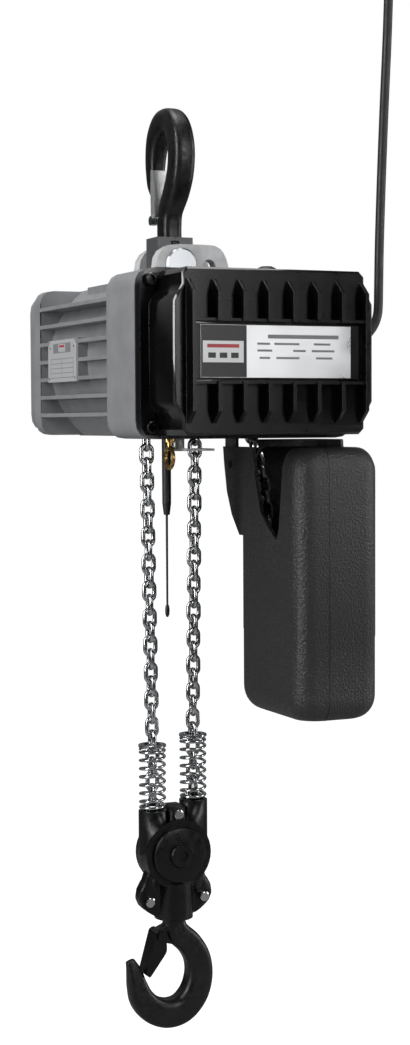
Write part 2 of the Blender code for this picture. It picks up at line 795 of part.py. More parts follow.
def motor_housing():
    """A finned barrel between flanges: a cylinder joined with a box and clipped to the body's outline."""
    front, back = RING_BACK_Y + GAP, MOTOR_BACK_Y
    shell = slab("motor_housing", body_outline(0.003), back - MOTOR_FLANGE, back, GREY_PAINT)
    flange = slab("motor_flange", body_outline(0.0025), front, front + 0.009, GREY_PAINT)
    barrel = rod(
        "motor_barrel", (BODY_X, front, BODY_Z), (BODY_X, back - 0.004, BODY_Z), MOTOR_BARREL_RADIUS,
        GREY_PAINT, 40,
    )
    clip = block(
        "motor_clip", (
            BODY_LEFT_X, -1, BODY_Z - MOTOR_BARREL_HALF,
        ), (BODY_RIGHT_X, 1, BODY_Z + MOTOR_BARREL_HALF), None, cutter=True
    )
    combine(barrel, clip, "INTERSECT")
    combine(shell, flange, "UNION")
    combine(shell, barrel, "UNION")
    for side in (-1, 1):
        outer = BODY_X + side * (BODY_WIDTH / 2 - RIB_INSET)
        inner = BODY_X + side * 0.080
        for number in range(RIB_COUNT):
            z = BODY_Z + (number - (RIB_COUNT - 1) / 2) * RIB_PITCH
            rib = block(
                f"motor_rib_{side}_{number}", (min(inner, outer), front + 0.004, z - RIB_THICK / 2),
                (max(inner, outer), back - 0.004, z + RIB_THICK / 2), GREY_PAINT,
            )
            combine(shell, rib, "UNION")
    pad = block(
        "motor_label_pad", (
            BODY_LEFT_X + RIB_INSET, 0.125, BODY_Z - 0.025,
        ), (BODY_X - 0.080, 0.228, BODY_Z + 0.025), GREY_PAINT
    )
    combine(shell, pad, "UNION")
    saddle = block(
        "motor_saddle", (
            BODY_X - 0.075, front + 0.060, BODY_TOP_Z - 0.020,
        ), (BODY_X + 0.075, back - 0.060, BODY_TOP_Z - 0.001), GREY_PAINT
    )
    combine(shell, saddle, "UNION")
    bore = rod(
        "motor_bore", (BODY_X, front + 0.055, BODY_Z), (BODY_X, back + 0.02, BODY_Z), MOTOR_BORE_RADIUS,
        None, 28, True,
    )
    gear_room = rod(
        "motor_gear_room", (BODY_X, front - 0.02, BODY_Z), (BODY_X, front + 0.0553, BODY_Z), 0.062, None, 24,
        True,
    )
    for cutter in (bore, gear_room, bracket_recess("motor_recess")):
        combine(shell, cutter)
    return shell


def end_cap():
    start = MOTOR_BACK_Y + GAP
    cap = slab("end_cap", body_outline(END_CAP_INSET, 0.024), start, start + END_CAP_DEPTH, GREY_PAINT)
    rounded(cap, 0.007, 2, 60)
    hollow = rod(
        "end_cap_hollow", (BODY_X, start - 0.01, BODY_Z), (BODY_X, start + 0.018, BODY_Z), 0.066, None, 24,
        True,
    )
    return combine(cap, hollow)


def rating_plate():
    """A plate with cut top corners on the motor's left side."""
    cut = 0.008
    low, high = BODY_Z - 0.0245, BODY_Z + 0.0245
    outline = [
        (0.128, low), (0.225, low), (0.225, high - cut), (0.225 - cut, high), (0.128 + cut, high),
        (0.128, high - cut),
    ]
    matrix = Matrix.Translation((BODY_LEFT_X + RIB_INSET - GAP - 0.0004, 0, 0)) @ SIDE
    return plate("rating_plate", outline, 0.0008, LABEL, matrix)


def stator():
    start = RING_BACK_Y + 0.075
    made = turned(
        "stator",
        [
            (STATOR_RADIUS, STATOR_LENGTH), (STATOR_RADIUS, 0), (STATOR_RADIUS - 0.010, -0.012),
            (STATOR_BORE + 0.004, -0.012),
            (STATOR_BORE, 0), (STATOR_BORE, STATOR_LENGTH), (STATOR_BORE + 0.004, STATOR_LENGTH + 0.012),
            (STATOR_RADIUS - 0.010, STATOR_LENGTH + 0.012),
        ],
        COPPER,
        (BODY_X, start, BODY_Z),
        steps=24,
        ring=True,
    )
    return made


def rotor_shaft():
    """The rotor and its shaft, from the gear end to the brake end, with a pinion at the front."""
    start = RING_BACK_Y + 0.030
    y = [0.0, 0.010, 0.045, 0.135, 0.185]
    return turned(
        "rotor_shaft",
        [
            (0, y[4]), (SHAFT_RADIUS - 0.001, y[4]), (SHAFT_RADIUS - 0.001, y[3]), (ROTOR_RADIUS, y[3]),
            (ROTOR_RADIUS, y[2]),
            (SHAFT_RADIUS, y[2]), (SHAFT_RADIUS, y[1]), (0.007, y[1]), (0.007, y[0]), (0, y[0]),
        ],
        STEEL,
        (BODY_X, start, BODY_Z),
    )


def brake_disc():
    start = RING_BACK_Y + 0.196
    return turned(
        "brake_disc",
        [
            (BRAKE_RADIUS, 0.006), (BRAKE_RADIUS, 0), (SHAFT_RADIUS - 0.001 + GAP, 0),
            (SHAFT_RADIUS - 0.001 + GAP, 0.006),
        ],
        STEEL,
        (BODY_X, start, BODY_Z),
        steps=24,
        ring=True,
    )


def gearbox_plate():
    """The bearing wall between the chain chamber and the gears."""
    y = RING_BACK_Y - 0.007
    room = RING_WALL + 0.0006
    outline = rectangle(
        BODY_LEFT_X + room, BODY_RIGHT_X - room, BODY_BOTTOM_Z + room,
        LUG_BASE_TOP_Z - LUG_BASE_THICK - 0.0015, BODY_CORNER,
    )
    return slab(
        "gearbox_plate", outline, y, y + 0.006, STEEL, [circle(WHEEL_X, BODY_Z, BEARING_RADIUS + GAP, 24)],
    )


def wheel_bearing():
    y = RING_BACK_Y - 0.007
    return turned(
        "wheel_bearing",
        [(BEARING_RADIUS, 0.006), (BEARING_RADIUS, 0), (SHAFT_RADIUS + GAP, 0), (SHAFT_RADIUS + GAP, 0.006)],
        STEEL,
        (WHEEL_X, y, BODY_Z),
        ring=True,
    )


def load_wheel():
    """The pocket wheel and its shaft. The pockets are cut round the rim, one for each pair of links."""
    half = WHEEL_WIDTH / 2
    rim = WHEEL_RADIUS + 0.001
    root = WHEEL_RADIUS - LINK_WIRE
    wheel = turned(
        "load_wheel",
        [
            (0, RING_BACK_Y + 0.0195), (SHAFT_RADIUS, RING_BACK_Y + 0.0195), (SHAFT_RADIUS, half),
            (rim, half), (rim, 0.0032),
            (root - 0.004, 0.0028), (root - 0.004, -0.0028), (rim, -0.0032), (rim, -half),
            (SHAFT_RADIUS, -half),
            (SHAFT_RADIUS, -0.045), (0, -0.045),
        ],
        STEEL,
        (WHEEL_X, 0, BODY_Z),
        steps=20,
    )
    return wheel


def output_gear():
    """The gear on the load wheel's shaft, with straight-sided teeth."""
    teeth = []
    for i in range(GEAR_TEETH):
        for share, radius in ((0.0, -0.0035), (0.30, -0.0035), (0.42, 0.0), (0.70, 0.0), (0.82, -0.0035)):
            angle = 2 * math.pi * (i + share) / GEAR_TEETH
            r = GEAR_RADIUS + radius
            teeth.append((WHEEL_X + r * math.cos(angle), BODY_Z + r * math.sin(angle)))
    start = RING_BACK_Y + 0.004
    return slab(
        "output_gear", teeth, start, start + GEAR_WIDTH, STEEL,
        [circle(WHEEL_X, BODY_Z, SHAFT_RADIUS + GAP, 24)],
    )


ANCHOR_RADIUS = 0.004
ANCHOR_Z = FALL_TOP_Z + ANCHOR_RADIUS + GAP


def chain_guide():
    """The guide under the load wheel: a plate with a way for each fall, round the wheel's lower rim."""
    top = BODY_BOTTOM_Z + 0.032
    guide = block(
        "chain_guide", (
            -FALL_HALF_TOP - 0.018, -0.022, BODY_BOTTOM_Z + 0.0148,
        ), (SLACK_BORE_X + 0.020, 0.0125, top), STEEL
    )
    anchor = block(
        "chain_guide_anchor", (-FALL_HALF_TOP - 0.0165, -0.0205, top - 0.004), (
            -FALL_HALF_TOP + 0.0165, 0.0124, ANCHOR_Z + 0.012,
        ), STEEL
    )
    combine(guide, anchor, "UNION")
    pin = rod(
        "chain_guide_pin_bore", (
            -FALL_HALF_TOP, -0.05, ANCHOR_Z,
        ), (-FALL_HALF_TOP, 0.05, ANCHOR_Z), ANCHOR_RADIUS + GAP, None, 20, True
    )
    combine(guide, pin)
    for bore in chain_bores("chain_guide_bore"):
        combine(guide, bore)
    return guide


def chain_anchor():
    """The pin across the guide's left way that holds the chain's standing end."""
    x = -FALL_HALF_TOP
    return rod("chain_anchor_pin", (x, -0.024, ANCHOR_Z), (x, 0.0135, ANCHOR_Z), ANCHOR_RADIUS, STEEL, 20)


def top_plug():
    x, y = 0.101, -0.034
    z = BODY_TOP_Z + GAP
    return turned(
        "top_plug",
        [(0, 0.008), (0.006, 0.0075), (0.010, 0.0055), (0.0125, 0.002), (0.0125, 0), (0, 0)],
        RUBBER,
        (x, y, z),
        "Z",
        24,
    )


def eye_bolt():
    """A welded-ring eye bolt screwed into the body's underside, its ring in the YZ plane."""
    x, y, z = -0.006, -0.010, -0.352
    turns = [2 * math.pi * i / 18 for i in range(18)]
    ring = [(x, y + 0.0112 * math.cos(a), z + 0.0112 * math.sin(a)) for a in turns]
    eye = wire("eye_bolt", ring, 0.0025, YELLOW_ZINC, closed=True, resolution=1)
    stem = rod("eye_bolt_stem", (x, y, z + 0.0105), (x, y, BODY_BOTTOM_Z - GAP), 0.003, YELLOW_ZINC, 16)
    foot = rod(
        "eye_bolt_foot", (x, y, BODY_BOTTOM_Z - 0.0035), (x, y, BODY_BOTTOM_Z - GAP), 0.0062, YELLOW_ZINC, 20
    )
    combine(eye, stem, "UNION")
    return combine(eye, foot, "UNION")


ANTENNA_X, ANTENNA_Y = 0.012, 0.041


def antenna():
    x, y = ANTENNA_X, ANTENNA_Y
    top = BODY_Z - MOTOR_BARREL_HALF - GAP
    sleeve = turned(
        "antenna_sleeve",
        [
            (0, top), (0.0052, top), (0.0050, -0.404), (0.0034, -0.417), (0.0018, -0.417), (0.0018, -0.414),
            (0, -0.414),
        ],
        RUBBER, (x, y, 0), "Z", 16,
    )
    rod_piece = turned(
        "antenna_rod",
        [
            (0, -0.414 - GAP), (0.0014, -0.414 - GAP), (0.0012, -0.518), (0.0022, -0.520), (0.0026, -0.524),
            (0.0024, -0.529), (0.0012, -0.532),
            (0, -0.5325),
        ],
        RUBBER, (x, y, 0), "Z", 12,
    )
    return sleeve, rod_piece


def limit_plate():
    """The sprung plate round the hoisting fall, which the spring cap pushes up at the top of the lift."""
    outline = rectangle(0.0012, FALL_HALF_TOP + 0.017, -0.018, 0.018, 0.006)
    hole = [circle(FALL_HALF_TOP, 0, CHAIN_BORE, 20)]
    made = plate(
        "limit_plate", outline, LIMIT_PLATE_THICK, YELLOW_ZINC, Matrix.Translation((0, 0, LIMIT_PLATE_Z)),
        hole,
    )
    boss = rod(
        "limit_plate_boss", (LIMIT_BOSS_X, 0, LIMIT_PLATE_Z), (
            LIMIT_BOSS_X, 0, BODY_BOTTOM_Z + 0.001,
        ), LIMIT_BOSS_RADIUS, YELLOW_ZINC, 20
    )
    return combine(made, boss, "UNION")


def cable_gland():
    """A nut, a body and a tapered sleeve on the right side of the housing, bored for the cable."""
    start = BODY_RIGHT_X + GAP
    made = turned(
        "cable_gland",
        [
            (0.0105, 0), (0.0105, 0.0035), (0.0095, 0.0045), (0.0095, 0.0095), (0.0075, 0.0139),
            (CABLE_RADIUS + 0.0008, 0.0139),
            (CABLE_RADIUS + 0.0008, 0),
        ][::-1],
        RUBBER, (start, GLAND_Y, GLAND_Z), "X", 20, ring=True,
    )
    return made


CABLE_ROUTE = [
    (0.1995, -0.2250), (0.2070, -0.2250), (0.2179, -0.2236), (0.2280, -0.2194), (0.2367, -0.2127),
    (0.2434, -0.2040),
    (0.2476, -0.1939), (0.2490, -0.1830), (0.2495, -0.1600), (0.2505, -0.1100), (0.2530, -0.0400),
    (0.2565, 0.0400),
    (0.2605, 0.1200), (0.2635, 0.2000),
]


def power_cable():
    route = [(x, GLAND_Y, z) for x, z in CABLE_ROUTE]
    return wire("power_cable", smooth_path(route, 30), CABLE_RADIUS, RUBBER)


def ceiling_fitting():
    x, z = CABLE_ROUTE[-1]
    z += GAP
    return turned(
        "ceiling_fitting",
        [
            (0, 0.027), (0.030, 0.027), (0.030, 0.022), (0.027, 0.019), (0.012, 0.016), (0.0090, 0.012),
            (0.0070, 0), (0, 0),
        ],
        RUBBER, (x, GLAND_Y, z), "Z", 20,
    )


# ---------------------------------------------------------------- chain


def cross_section(x, y, z):
    """The outline of two crossed links about a point: a plus sign of link wires."""
    half, wire_half = LINK_WIDTH / 2, LINK_WIRE / 2
    corners = []
    for turn in range(4):
        c, s = round(math.cos(turn * math.pi / 2)), round(math.sin(turn * math.pi / 2))
        for u, v in ((half, -wire_half), (half, wire_half), (wire_half, wire_half)):
            corners.append((x + u * c - v * s, y + u * s + v * c, z))
    return corners


def chain_run(name, places):
    """A run of chain as one plain bar through places in X and Z."""
    return loft(name, [cross_section(x, 0.0, z) for x, z in places], BRIGHT)


def falls():
    for name, side in (("chain_fall_left", -1), ("chain_fall_right", 1)):
        top, low = side * FALL_HALF_TOP, side * FALL_HALF_BLOCK
        chain_run(name, [(top, FALL_TOP_Z), (low, SPRING_TOP_Z + 0.004), (low, FALL_BOTTOM_Z)])
    slack = [
        (SLACK_X, FALL_TOP_Z), (SLACK_X + 0.0125, -0.343), (SLACK_X + 0.026, -0.400),
        (SLACK_X + 0.034, -0.545),
    ]
    chain_run("slack_chain", slack)
    low, high = BIN_LOW, BIN_HIGH
    heap = block(
        "stored_chain", (low[0] + 0.008, low[1] + 0.010, low[2] + 0.006),
        (high[0] - 0.008, high[1] - 0.010, -0.5454), BRIGHT,
    )
    rounded(heap, 0.018, 3)


# ---------------------------------------------------------------- chain container


def bin_rings(inset, levels):
    """Rounded rectangles at each (height, shrink) level, inset all round."""
    rings = []
    for z, shrink in levels:
        d = inset + shrink
        outline = rectangle(BIN_LOW[0] + d, BIN_HIGH[0] - d, BIN_LOW[1] + d, BIN_HIGH[1] - d, 0.022, 3)
        rings.append([(x, y, z) for x, y in outline])
    return rings


def chain_container():
    low, high = BIN_LOW[2], BIN_HIGH[2]
    levels = [
        (low, 0.016), (low + 0.004, 0.007), (low + 0.014, 0.001), (low + 0.030, 0.0), (high - 0.030, 0.0),
        (high - 0.014, 0.002),
        (high - 0.005, 0.007), (high, 0.015),
    ]
    made = loft("chain_container", bin_rings(0.0, levels), BIN_PLASTIC)
    inner = [
        (low + BIN_WALL, 0.012), (low + 0.017, 0.001), (low + 0.033, 0.0), (high - 0.030, 0.0),
        (high - 0.012, 0.003), (high, 0.015),
        (high + 0.01, 0.015),
    ]
    hollow = loft("chain_container_hollow", bin_rings(BIN_WALL, inner), None, cutter=True)
    notch = plate(
        "chain_container_notch",
        [
            (-0.024, high + 0.02), (-0.024, high - 0.002), (-0.046, -0.412), (-0.085, -0.441),
            (-0.094, -0.410), (-0.100, -0.360), (-0.101, high + 0.02),
        ],
        0.030, None, Matrix.Translation((BIN_LOW[0] + 0.004, 0, 0)) @ SIDE, cutter=True,
    )
    combine(made, hollow)
    combine(made, notch)
    ear = plate(
        "chain_container_ear",
        [
            (-0.024, high), (EAR_BACK_Y, high), (EAR_BACK_Y - 0.003, high - 0.020), (0.030, -0.418),
            (0.010, -0.440), (-0.030, -0.440), (-0.046, -0.4122),
        ],
        EAR_THICK, BIN_PLASTIC, Matrix.Translation((BIN_LOW[0] + EAR_THICK / 2 + 0.0002, 0, 0)) @ SIDE,
        [circle(0.034, high - 0.020, 0.0045, 16)],
    )
    collar = loft("chain_container_collar", collar_rings(), BIN_PLASTIC)
    combine(made, ear, "UNION")
    combine(made, collar, "UNION")
    for cutter in chain_clearance():
        combine(made, cutter)
    return made


def collar_rings():
    """The raised rim that runs along the back wall, round the corner and part way along the right wall."""
    x, y, r, thick = BIN_HIGH[0] - 0.0004, BIN_HIGH[1] - 0.0004, 0.022, 0.003
    turn = [math.radians(a) for a in (0, 22.5, 45, 67.5, 90)]
    outer = [(x - r + r * math.cos(a), y - r + r * math.sin(a)) for a in turn]
    inner = [(x - r + (r - thick) * math.cos(a), y - r + (r - thick) * math.sin(a)) for a in turn]
    start, end = COLLAR_FRONT_Y, BIN_LOW[0] + 0.0215
    plan = [(x, start), *outer, (end, y), (end, y - thick), *inner[::-1], (x - thick, start)]
    return [[(a, b, z) for a, b in plan] for z in (BIN_HIGH[2] - 0.040, COLLAR_TOP_Z)]


def chain_clearance():
    """The chain's way in through the container's rim."""
    return [
        rod(
            "chain_container_way", (SLACK_X + 0.0165, 0, -0.362), (SLACK_X + 0.0095, 0, -0.325),
            LINK_WIDTH / 2 + 0.0035, None, 16, True,
        )
    ]


def container_hanger():
    """A steel strip under the motor with a turned-down end that the container's ear is bolted to."""
    x = BIN_LOW[0] + EAR_THICK + 0.0002 + GAP + 0.0015
    top = BODY_Z - MOTOR_BARREL_HALF - GAP
    strip = block("container_hanger", (x - 0.0015, 0.040, top - 0.003), (x + 0.030, 0.056, top), DARK_PAINT)
    leg = block(
        "container_hanger_leg", (x - 0.0015, 0.026, BIN_HIGH[2] - 0.034), (x + 0.0015, 0.056, top - 0.001),
        DARK_PAINT,
    )
    combine(strip, leg, "UNION")
    bore = rod(
        "container_hanger_bore", (x - 0.02, 0.034, BIN_HIGH[2] - 0.020),
        (x + 0.02, 0.034, BIN_HIGH[2] - 0.020), 0.0045, None, 16, True,
    )
    return combine(strip, bore)


def container_bolt():
    x = BIN_LOW[0] + EAR_THICK + 0.0002 + GAP + 0.003 + GAP
    return turned(
        "container_bolt",
        [(0, -0.008), (0.0042, -0.008), (0.0042, 0), (0.0080, 0), (0.0080, 0.005), (0, 0.005)][::-1],
        BRIGHT, (x, 0.034, BIN_HIGH[2] - 0.020), "X", 16,
    )


# ---------------------------------------------------------------- load block


COLLAR_LOW = -0.8515
COLLAR_HIGH = COLLAR_LOW + 0.006
BLOCK_BOLTS = [(0.0, -0.7448, WEB_HALF_Y), (-0.0325, -0.8405, LOBE_HALF_Y), (0.0325, -0.8405, LOBE_HALF_Y)]
BOLT_BORE = 0.0033


def lobe_outline():
    """Front view of the shell's lower part: a waist, then a lobe for a bolt on each side of the barrel."""
    right = [
        (0.0260, -0.8000), (0.0345, -0.8110), (0.0345, -0.8160), (0.0405, -0.8240), (0.0435, -0.8320),
        (0.0430, -0.8430), (0.0335, -0.8530), (0.0215, -0.8600),
    ]
    return rounded_outline([*right, *[(-x, z) for x, z in reversed(right)]], 0.004, 1)


def block_shell(name, side):
    """Half of the load block, split on the plane of the chain: lobes, boss, web, two tubes and a barrel."""
    shell = slab(name, lobe_outline(), -LOBE_HALF_Y, LOBE_HALF_Y, BLACK_PAINT)
    rounded(shell, 0.0015, 1, 50)
    low, high = (-WEB_HALF_X, -WEB_HALF_Y, SHEAVE_Z), (WEB_HALF_X, WEB_HALF_Y, WEB_TOP_Z)
    combine(shell, block(f"{name}_web", low, high, None), "UNION")
    front, back = (0, -BOSS_HALF_Y, SHEAVE_Z), (0, BOSS_HALF_Y, SHEAVE_Z)
    combine(shell, rod(f"{name}_boss", front, back, BOSS_RADIUS, None, 40), "UNION")
    top = SHEAVE_Z - CAP_RADIUS - 0.0015
    barrel = rod(f"{name}_barrel", (0, 0, SHELL_LOW_Z), (0, 0, top), BARREL_RADIUS, None, 28)
    combine(shell, barrel, "UNION")
    for fall, label in ((-1, "left"), (1, "right")):
        x = fall * FALL_HALF_BLOCK
        tube = rod(f"{name}_tube_{label}", (x, 0, SHEAVE_Z), (x, 0, SEAT_Z[label]), TUBE_RADIUS, None, 24)
        combine(shell, tube, "UNION")
    for cutter in block_cuts(name, side):
        combine(shell, cutter)
    return shell


def block_cuts(name, side):
    """The far half, the chain's ways, the sheave's pocket, and the bores for axle, neck, collar and bolts."""
    plane = side * GAP / 2
    reach = -side * 2 * BOSS_HALF_Y
    low, high = (-0.06, min(plane, reach), SHELL_LOW_Z - 0.01), (0.06, max(plane, reach), WEB_TOP_Z + 0.02)
    cuts = [block(f"{name}_far_half", low, high, None, cutter=True)]
    for fall in (-1, 1):
        x = fall * FALL_HALF_BLOCK
        radius = LINK_WIDTH / 2 + 0.0015
        cuts.append(rod(f"{name}_way_{fall}", (x, 0, SHEAVE_Z), (x, 0, -0.70), radius, None, 20, True))
    half = SHEAVE_WIDTH / 2 + 0.0008
    pocket = SHEAVE_RADIUS + 0.004
    cuts += [
        rod(f"{name}_pocket", (0, -half, SHEAVE_Z), (0, half, SHEAVE_Z), pocket, None, 24, True),
        rod(f"{name}_axle", (0, -0.05, SHEAVE_Z), (0, 0.05, SHEAVE_Z), AXLE_RADIUS + GAP, None, 24, True),
        rod(f"{name}_neck", (0, 0, -0.90), (0, 0, -0.84), NECK_RADIUS + GAP, None, 28, True),
        rod(
            f"{name}_collar", (0, 0, COLLAR_LOW - GAP), (0, 0, COLLAR_HIGH + GAP), COLLAR_RADIUS + GAP, None,
            28, True,
        ),
    ]
    for number, (x, z, _) in enumerate(BLOCK_BOLTS):
        cuts.append(rod(f"{name}_bolt_{number}", (x, -0.05, z), (x, 0.05, z), BOLT_BORE, None, 16, True))
    return cuts


def load_block():
    block_shell("block_shell_front", -1)
    block_shell("block_shell_back", 1)
    face = BOSS_HALF_Y + GAP
    for name, side in (("block_cap_front", -1), ("block_cap_back", 1)):
        cap = turned(
            name,
            [
                (0, 0.0088), (0.0060, 0.0088), (0.0060, 0.0108), (0.0125, 0.0108), (0.0135, 0.0095),
                (0.0135, 0.0070),
                (0.0245, 0.0070), (CAP_RADIUS - 0.001, 0.0058), (CAP_RADIUS, 0.0040), (CAP_RADIUS, 0),
                (0, 0),
            ],
            BLACK_PAINT, (0, 0, SHEAVE_Z), steps=32,
        )
        place = Matrix.Translation((0, side * face, SHEAVE_Z))
        cap.matrix_world = place @ Matrix.Rotation(-side * math.pi / 2, 4, "X")
    for number, (x, z, half) in enumerate(BLOCK_BOLTS, 1):
        bolt(f"block_bolt_{number}", x, z, half + GAP)
    reach = BOSS_HALF_Y - 0.0005
    rod("sheave_axle", (0, -reach, SHEAVE_Z), (0, reach, SHEAVE_Z), AXLE_RADIUS, STEEL, 28)
    half, floor = SHEAVE_WIDTH / 2, SHEAVE_RADIUS - 0.0095
    turned(
        "idler_sheave",
        [
            (SHEAVE_RADIUS, half), (SHEAVE_RADIUS, 0.0055), (floor, 0.0032), (floor, -0.0032),
            (SHEAVE_RADIUS, -0.0055),
            (SHEAVE_RADIUS, -half), (AXLE_RADIUS + GAP, -half), (AXLE_RADIUS + GAP, half),
        ],
        STEEL, (0, 0, SHEAVE_Z), steps=20, ring=True,
    )
    for label, side in (("left", -1), ("right", 1)):
        spring(label, side * FALL_HALF_BLOCK)


def bolt(name, x, z, head):
    """A cap screw across both shells with its head in front and a nut behind."""
    radius, nut, shank = 0.0052, 0.0055, 0.0030
    return turned(
        name,
        [
            (0, head + 0.004), (radius, head + 0.004), (radius, head), (shank, head), (shank, -head),
            (nut, -head),
            (nut, -head - 0.0046), (nut - 0.001, -head - 0.0052), (0, -head - 0.0052),
        ],
        BRIGHT, (x, 0, z), steps=12,
    )


def spring(label, x):
    """A coil spring round the fall, from its seat on the block to a ring on top."""
    wire_radius, steps = SPRING_WIRE_RADIUS, 8
    top = SEAT_Z[label] + SPRING_LENGTH
    low = SEAT_Z[label] + GAP + wire_radius
    high = top - SPRING_CAP_THICK - GAP - wire_radius
    pitch = 2 * wire_radius + 0.0002
    points = []
    for i in range(int(SPRING_TURNS * steps) + 1):
        turn = i / steps
        share = min(max((turn - 1) / (SPRING_TURNS - 2), 0.0), 1.0)
        ends = pitch * (min(turn, 1.0) + max(turn - SPRING_TURNS + 1, 0.0))
        angle = 2 * math.pi * turn
        out = (SPRING_COIL_RADIUS * math.cos(angle), SPRING_COIL_RADIUS * math.sin(angle))
        points.append((x + out[0], out[1], low + ends + (high - low - 2 * pitch) * share))
    wire(f"spring_{label}", points, wire_radius, BRIGHT, resolution=1)
    turned(
        f"spring_cap_{label}",
        [
            (SPRING_CAP_RADIUS - 0.0005, top), (SPRING_CAP_RADIUS, top - 0.0005),
            (SPRING_CAP_RADIUS, top - SPRING_CAP_THICK),
            (SPRING_CAP_BORE, top - SPRING_CAP_THICK), (SPRING_CAP_BORE, top),
        ],
        BRIGHT, (x, 0, 0), "Z", 20, ring=True,
    )


# ---------------------------------------------------------------- bottom hook

BOTTOM_PIVOT = (-0.0190, -0.8800)  # X, Z


def bottom_hook():
    route = [
        (0.0, COLLAR_LOW + 0.003, NECK_RADIUS),
        (0.0, -0.866, NECK_RADIUS),
        (0.004, -0.880, 0.0135),
        (0.018, -0.894, 0.0140),
        (0.0275, -0.911, 0.0145),
        (0.0295, -0.931, 0.0152),
        (0.0235, -0.951, 0.0158),
        (0.0095, -0.9660, 0.0160),
        (-0.0085, -0.9700, 0.0160),
        (-0.0260, -0.9640, 0.0152),
        (-0.0385, -0.9510, 0.0138),
        (-0.0445, -0.9350, 0.0112),
        (-0.0480, -0.9190, 0.0085),
        (-0.0525, -0.9060, 0.0050),
    ]
    hook = forged("bottom_hook", route, 0.84, FORGED, X_AXIS, Z_AXIS)
    collar = rod("bottom_hook_collar", (0, 0, COLLAR_LOW), (0, 0, COLLAR_HIGH), COLLAR_RADIUS, FORGED, 28)
    x, z = BOTTOM_PIVOT
    lug = plate(
        "bottom_hook_lug",
        rounded_outline(
            [
                (0.0, z - 0.012), (0.0, z + 0.010), (x - 0.002, z + 0.006), (x - 0.006, z),
                (x - 0.002, z - 0.006),
            ],
            0.005,
        ),
        2 * LUG_HALF, FORGED, FRONT,
    )
    bore = rod("bottom_hook_bore", (x, -0.02, z), (x, 0.02, z), LATCH_PIN_RADIUS + GAP, None, 16, True)
    combine(hook, collar, "UNION")
    combine(hook, lug, "UNION")
    combine(hook, bore)
    return hook


def latches():
    y, z = TOP_PIVOT
    outline = rounded_outline(
        [
            (y - 0.005, z - 0.006), (y + 0.0062, z - 0.004), (0.0270, -0.070), (0.0265, -0.036),
            (0.0190, -0.037), (0.0150, -0.070),
        ], 0.004, 3
    )
    wall = y + 0.0047
    inside = [
        (y - 0.012, z - 0.012), (wall, z - 0.012), (wall, z - 0.004), (0.0250, -0.070), (0.0248, -0.030),
        (0.010, -0.030), (0.005, -0.070),
    ]
    latch("top_latch", outline, TOP_PIVOT, SIDE, X_AXIS, inside)
    latch_pin("top_latch_pin", TOP_PIVOT, X_AXIS)
    x, z = BOTTOM_PIVOT
    end_x, end_z = -0.0365, -0.9235
    outline = rounded_outline(
        [
            (x + 0.0055, z + 0.004), (x - 0.0060, z + 0.006), (end_x - 0.0015, end_z + 0.003),
            (end_x + 0.003, end_z - 0.002), (x + 0.0065, z - 0.018),
        ], 0.004, 3
    )
    wall = x - 0.0045
    inside = [
        (x + 0.020, z + 0.014), (wall, z + 0.014), (wall, z + 0.004), (end_x + 0.0005, end_z + 0.002),
        (end_x + 0.004, end_z - 0.010), (x + 0.020, z - 0.020),
    ]
    latch("bottom_latch", outline, BOTTOM_PIVOT, FRONT, Y_AXIS, inside)
    latch_pin("bottom_latch_pin", BOTTOM_PIVOT, Y_AXIS)


# ---------------------------------------------------------------- the whole hoist

top_hook()
suspension_half("suspension_block_left", -1)
suspension_half("suspension_block_right", 1)
suspension_pin()
suspension_bracket()
center_housing()
cover_gasket()
front_cover()
name_plate()
controller_board()
motor_housing()
end_cap()
rating_plate()
stator()
rotor_shaft()
brake_disc()
gearbox_plate()
wheel_bearing()
load_wheel()
output_gear()
chain_guide()
chain_anchor()
top_plug()
eye_bolt()
antenna()
limit_plate()
cable_gland()
power_cable()
ceiling_fitting()
falls()
chain_container()
container_hanger()
container_bolt()
load_block()
bottom_hook()
latches()
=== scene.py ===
"""Looks of an electric chain hoist: forged hooks, grey cast body with a gloss black finned cover, bright
load chain, springs, load block and a pebbled chain container. Everything is in metres, in the frame of the
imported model, whose origin is the inner saddle of the top hook."""

import json
import math

import bmesh
import bpy
import numpy as np
from mathutils import Matrix, Vector

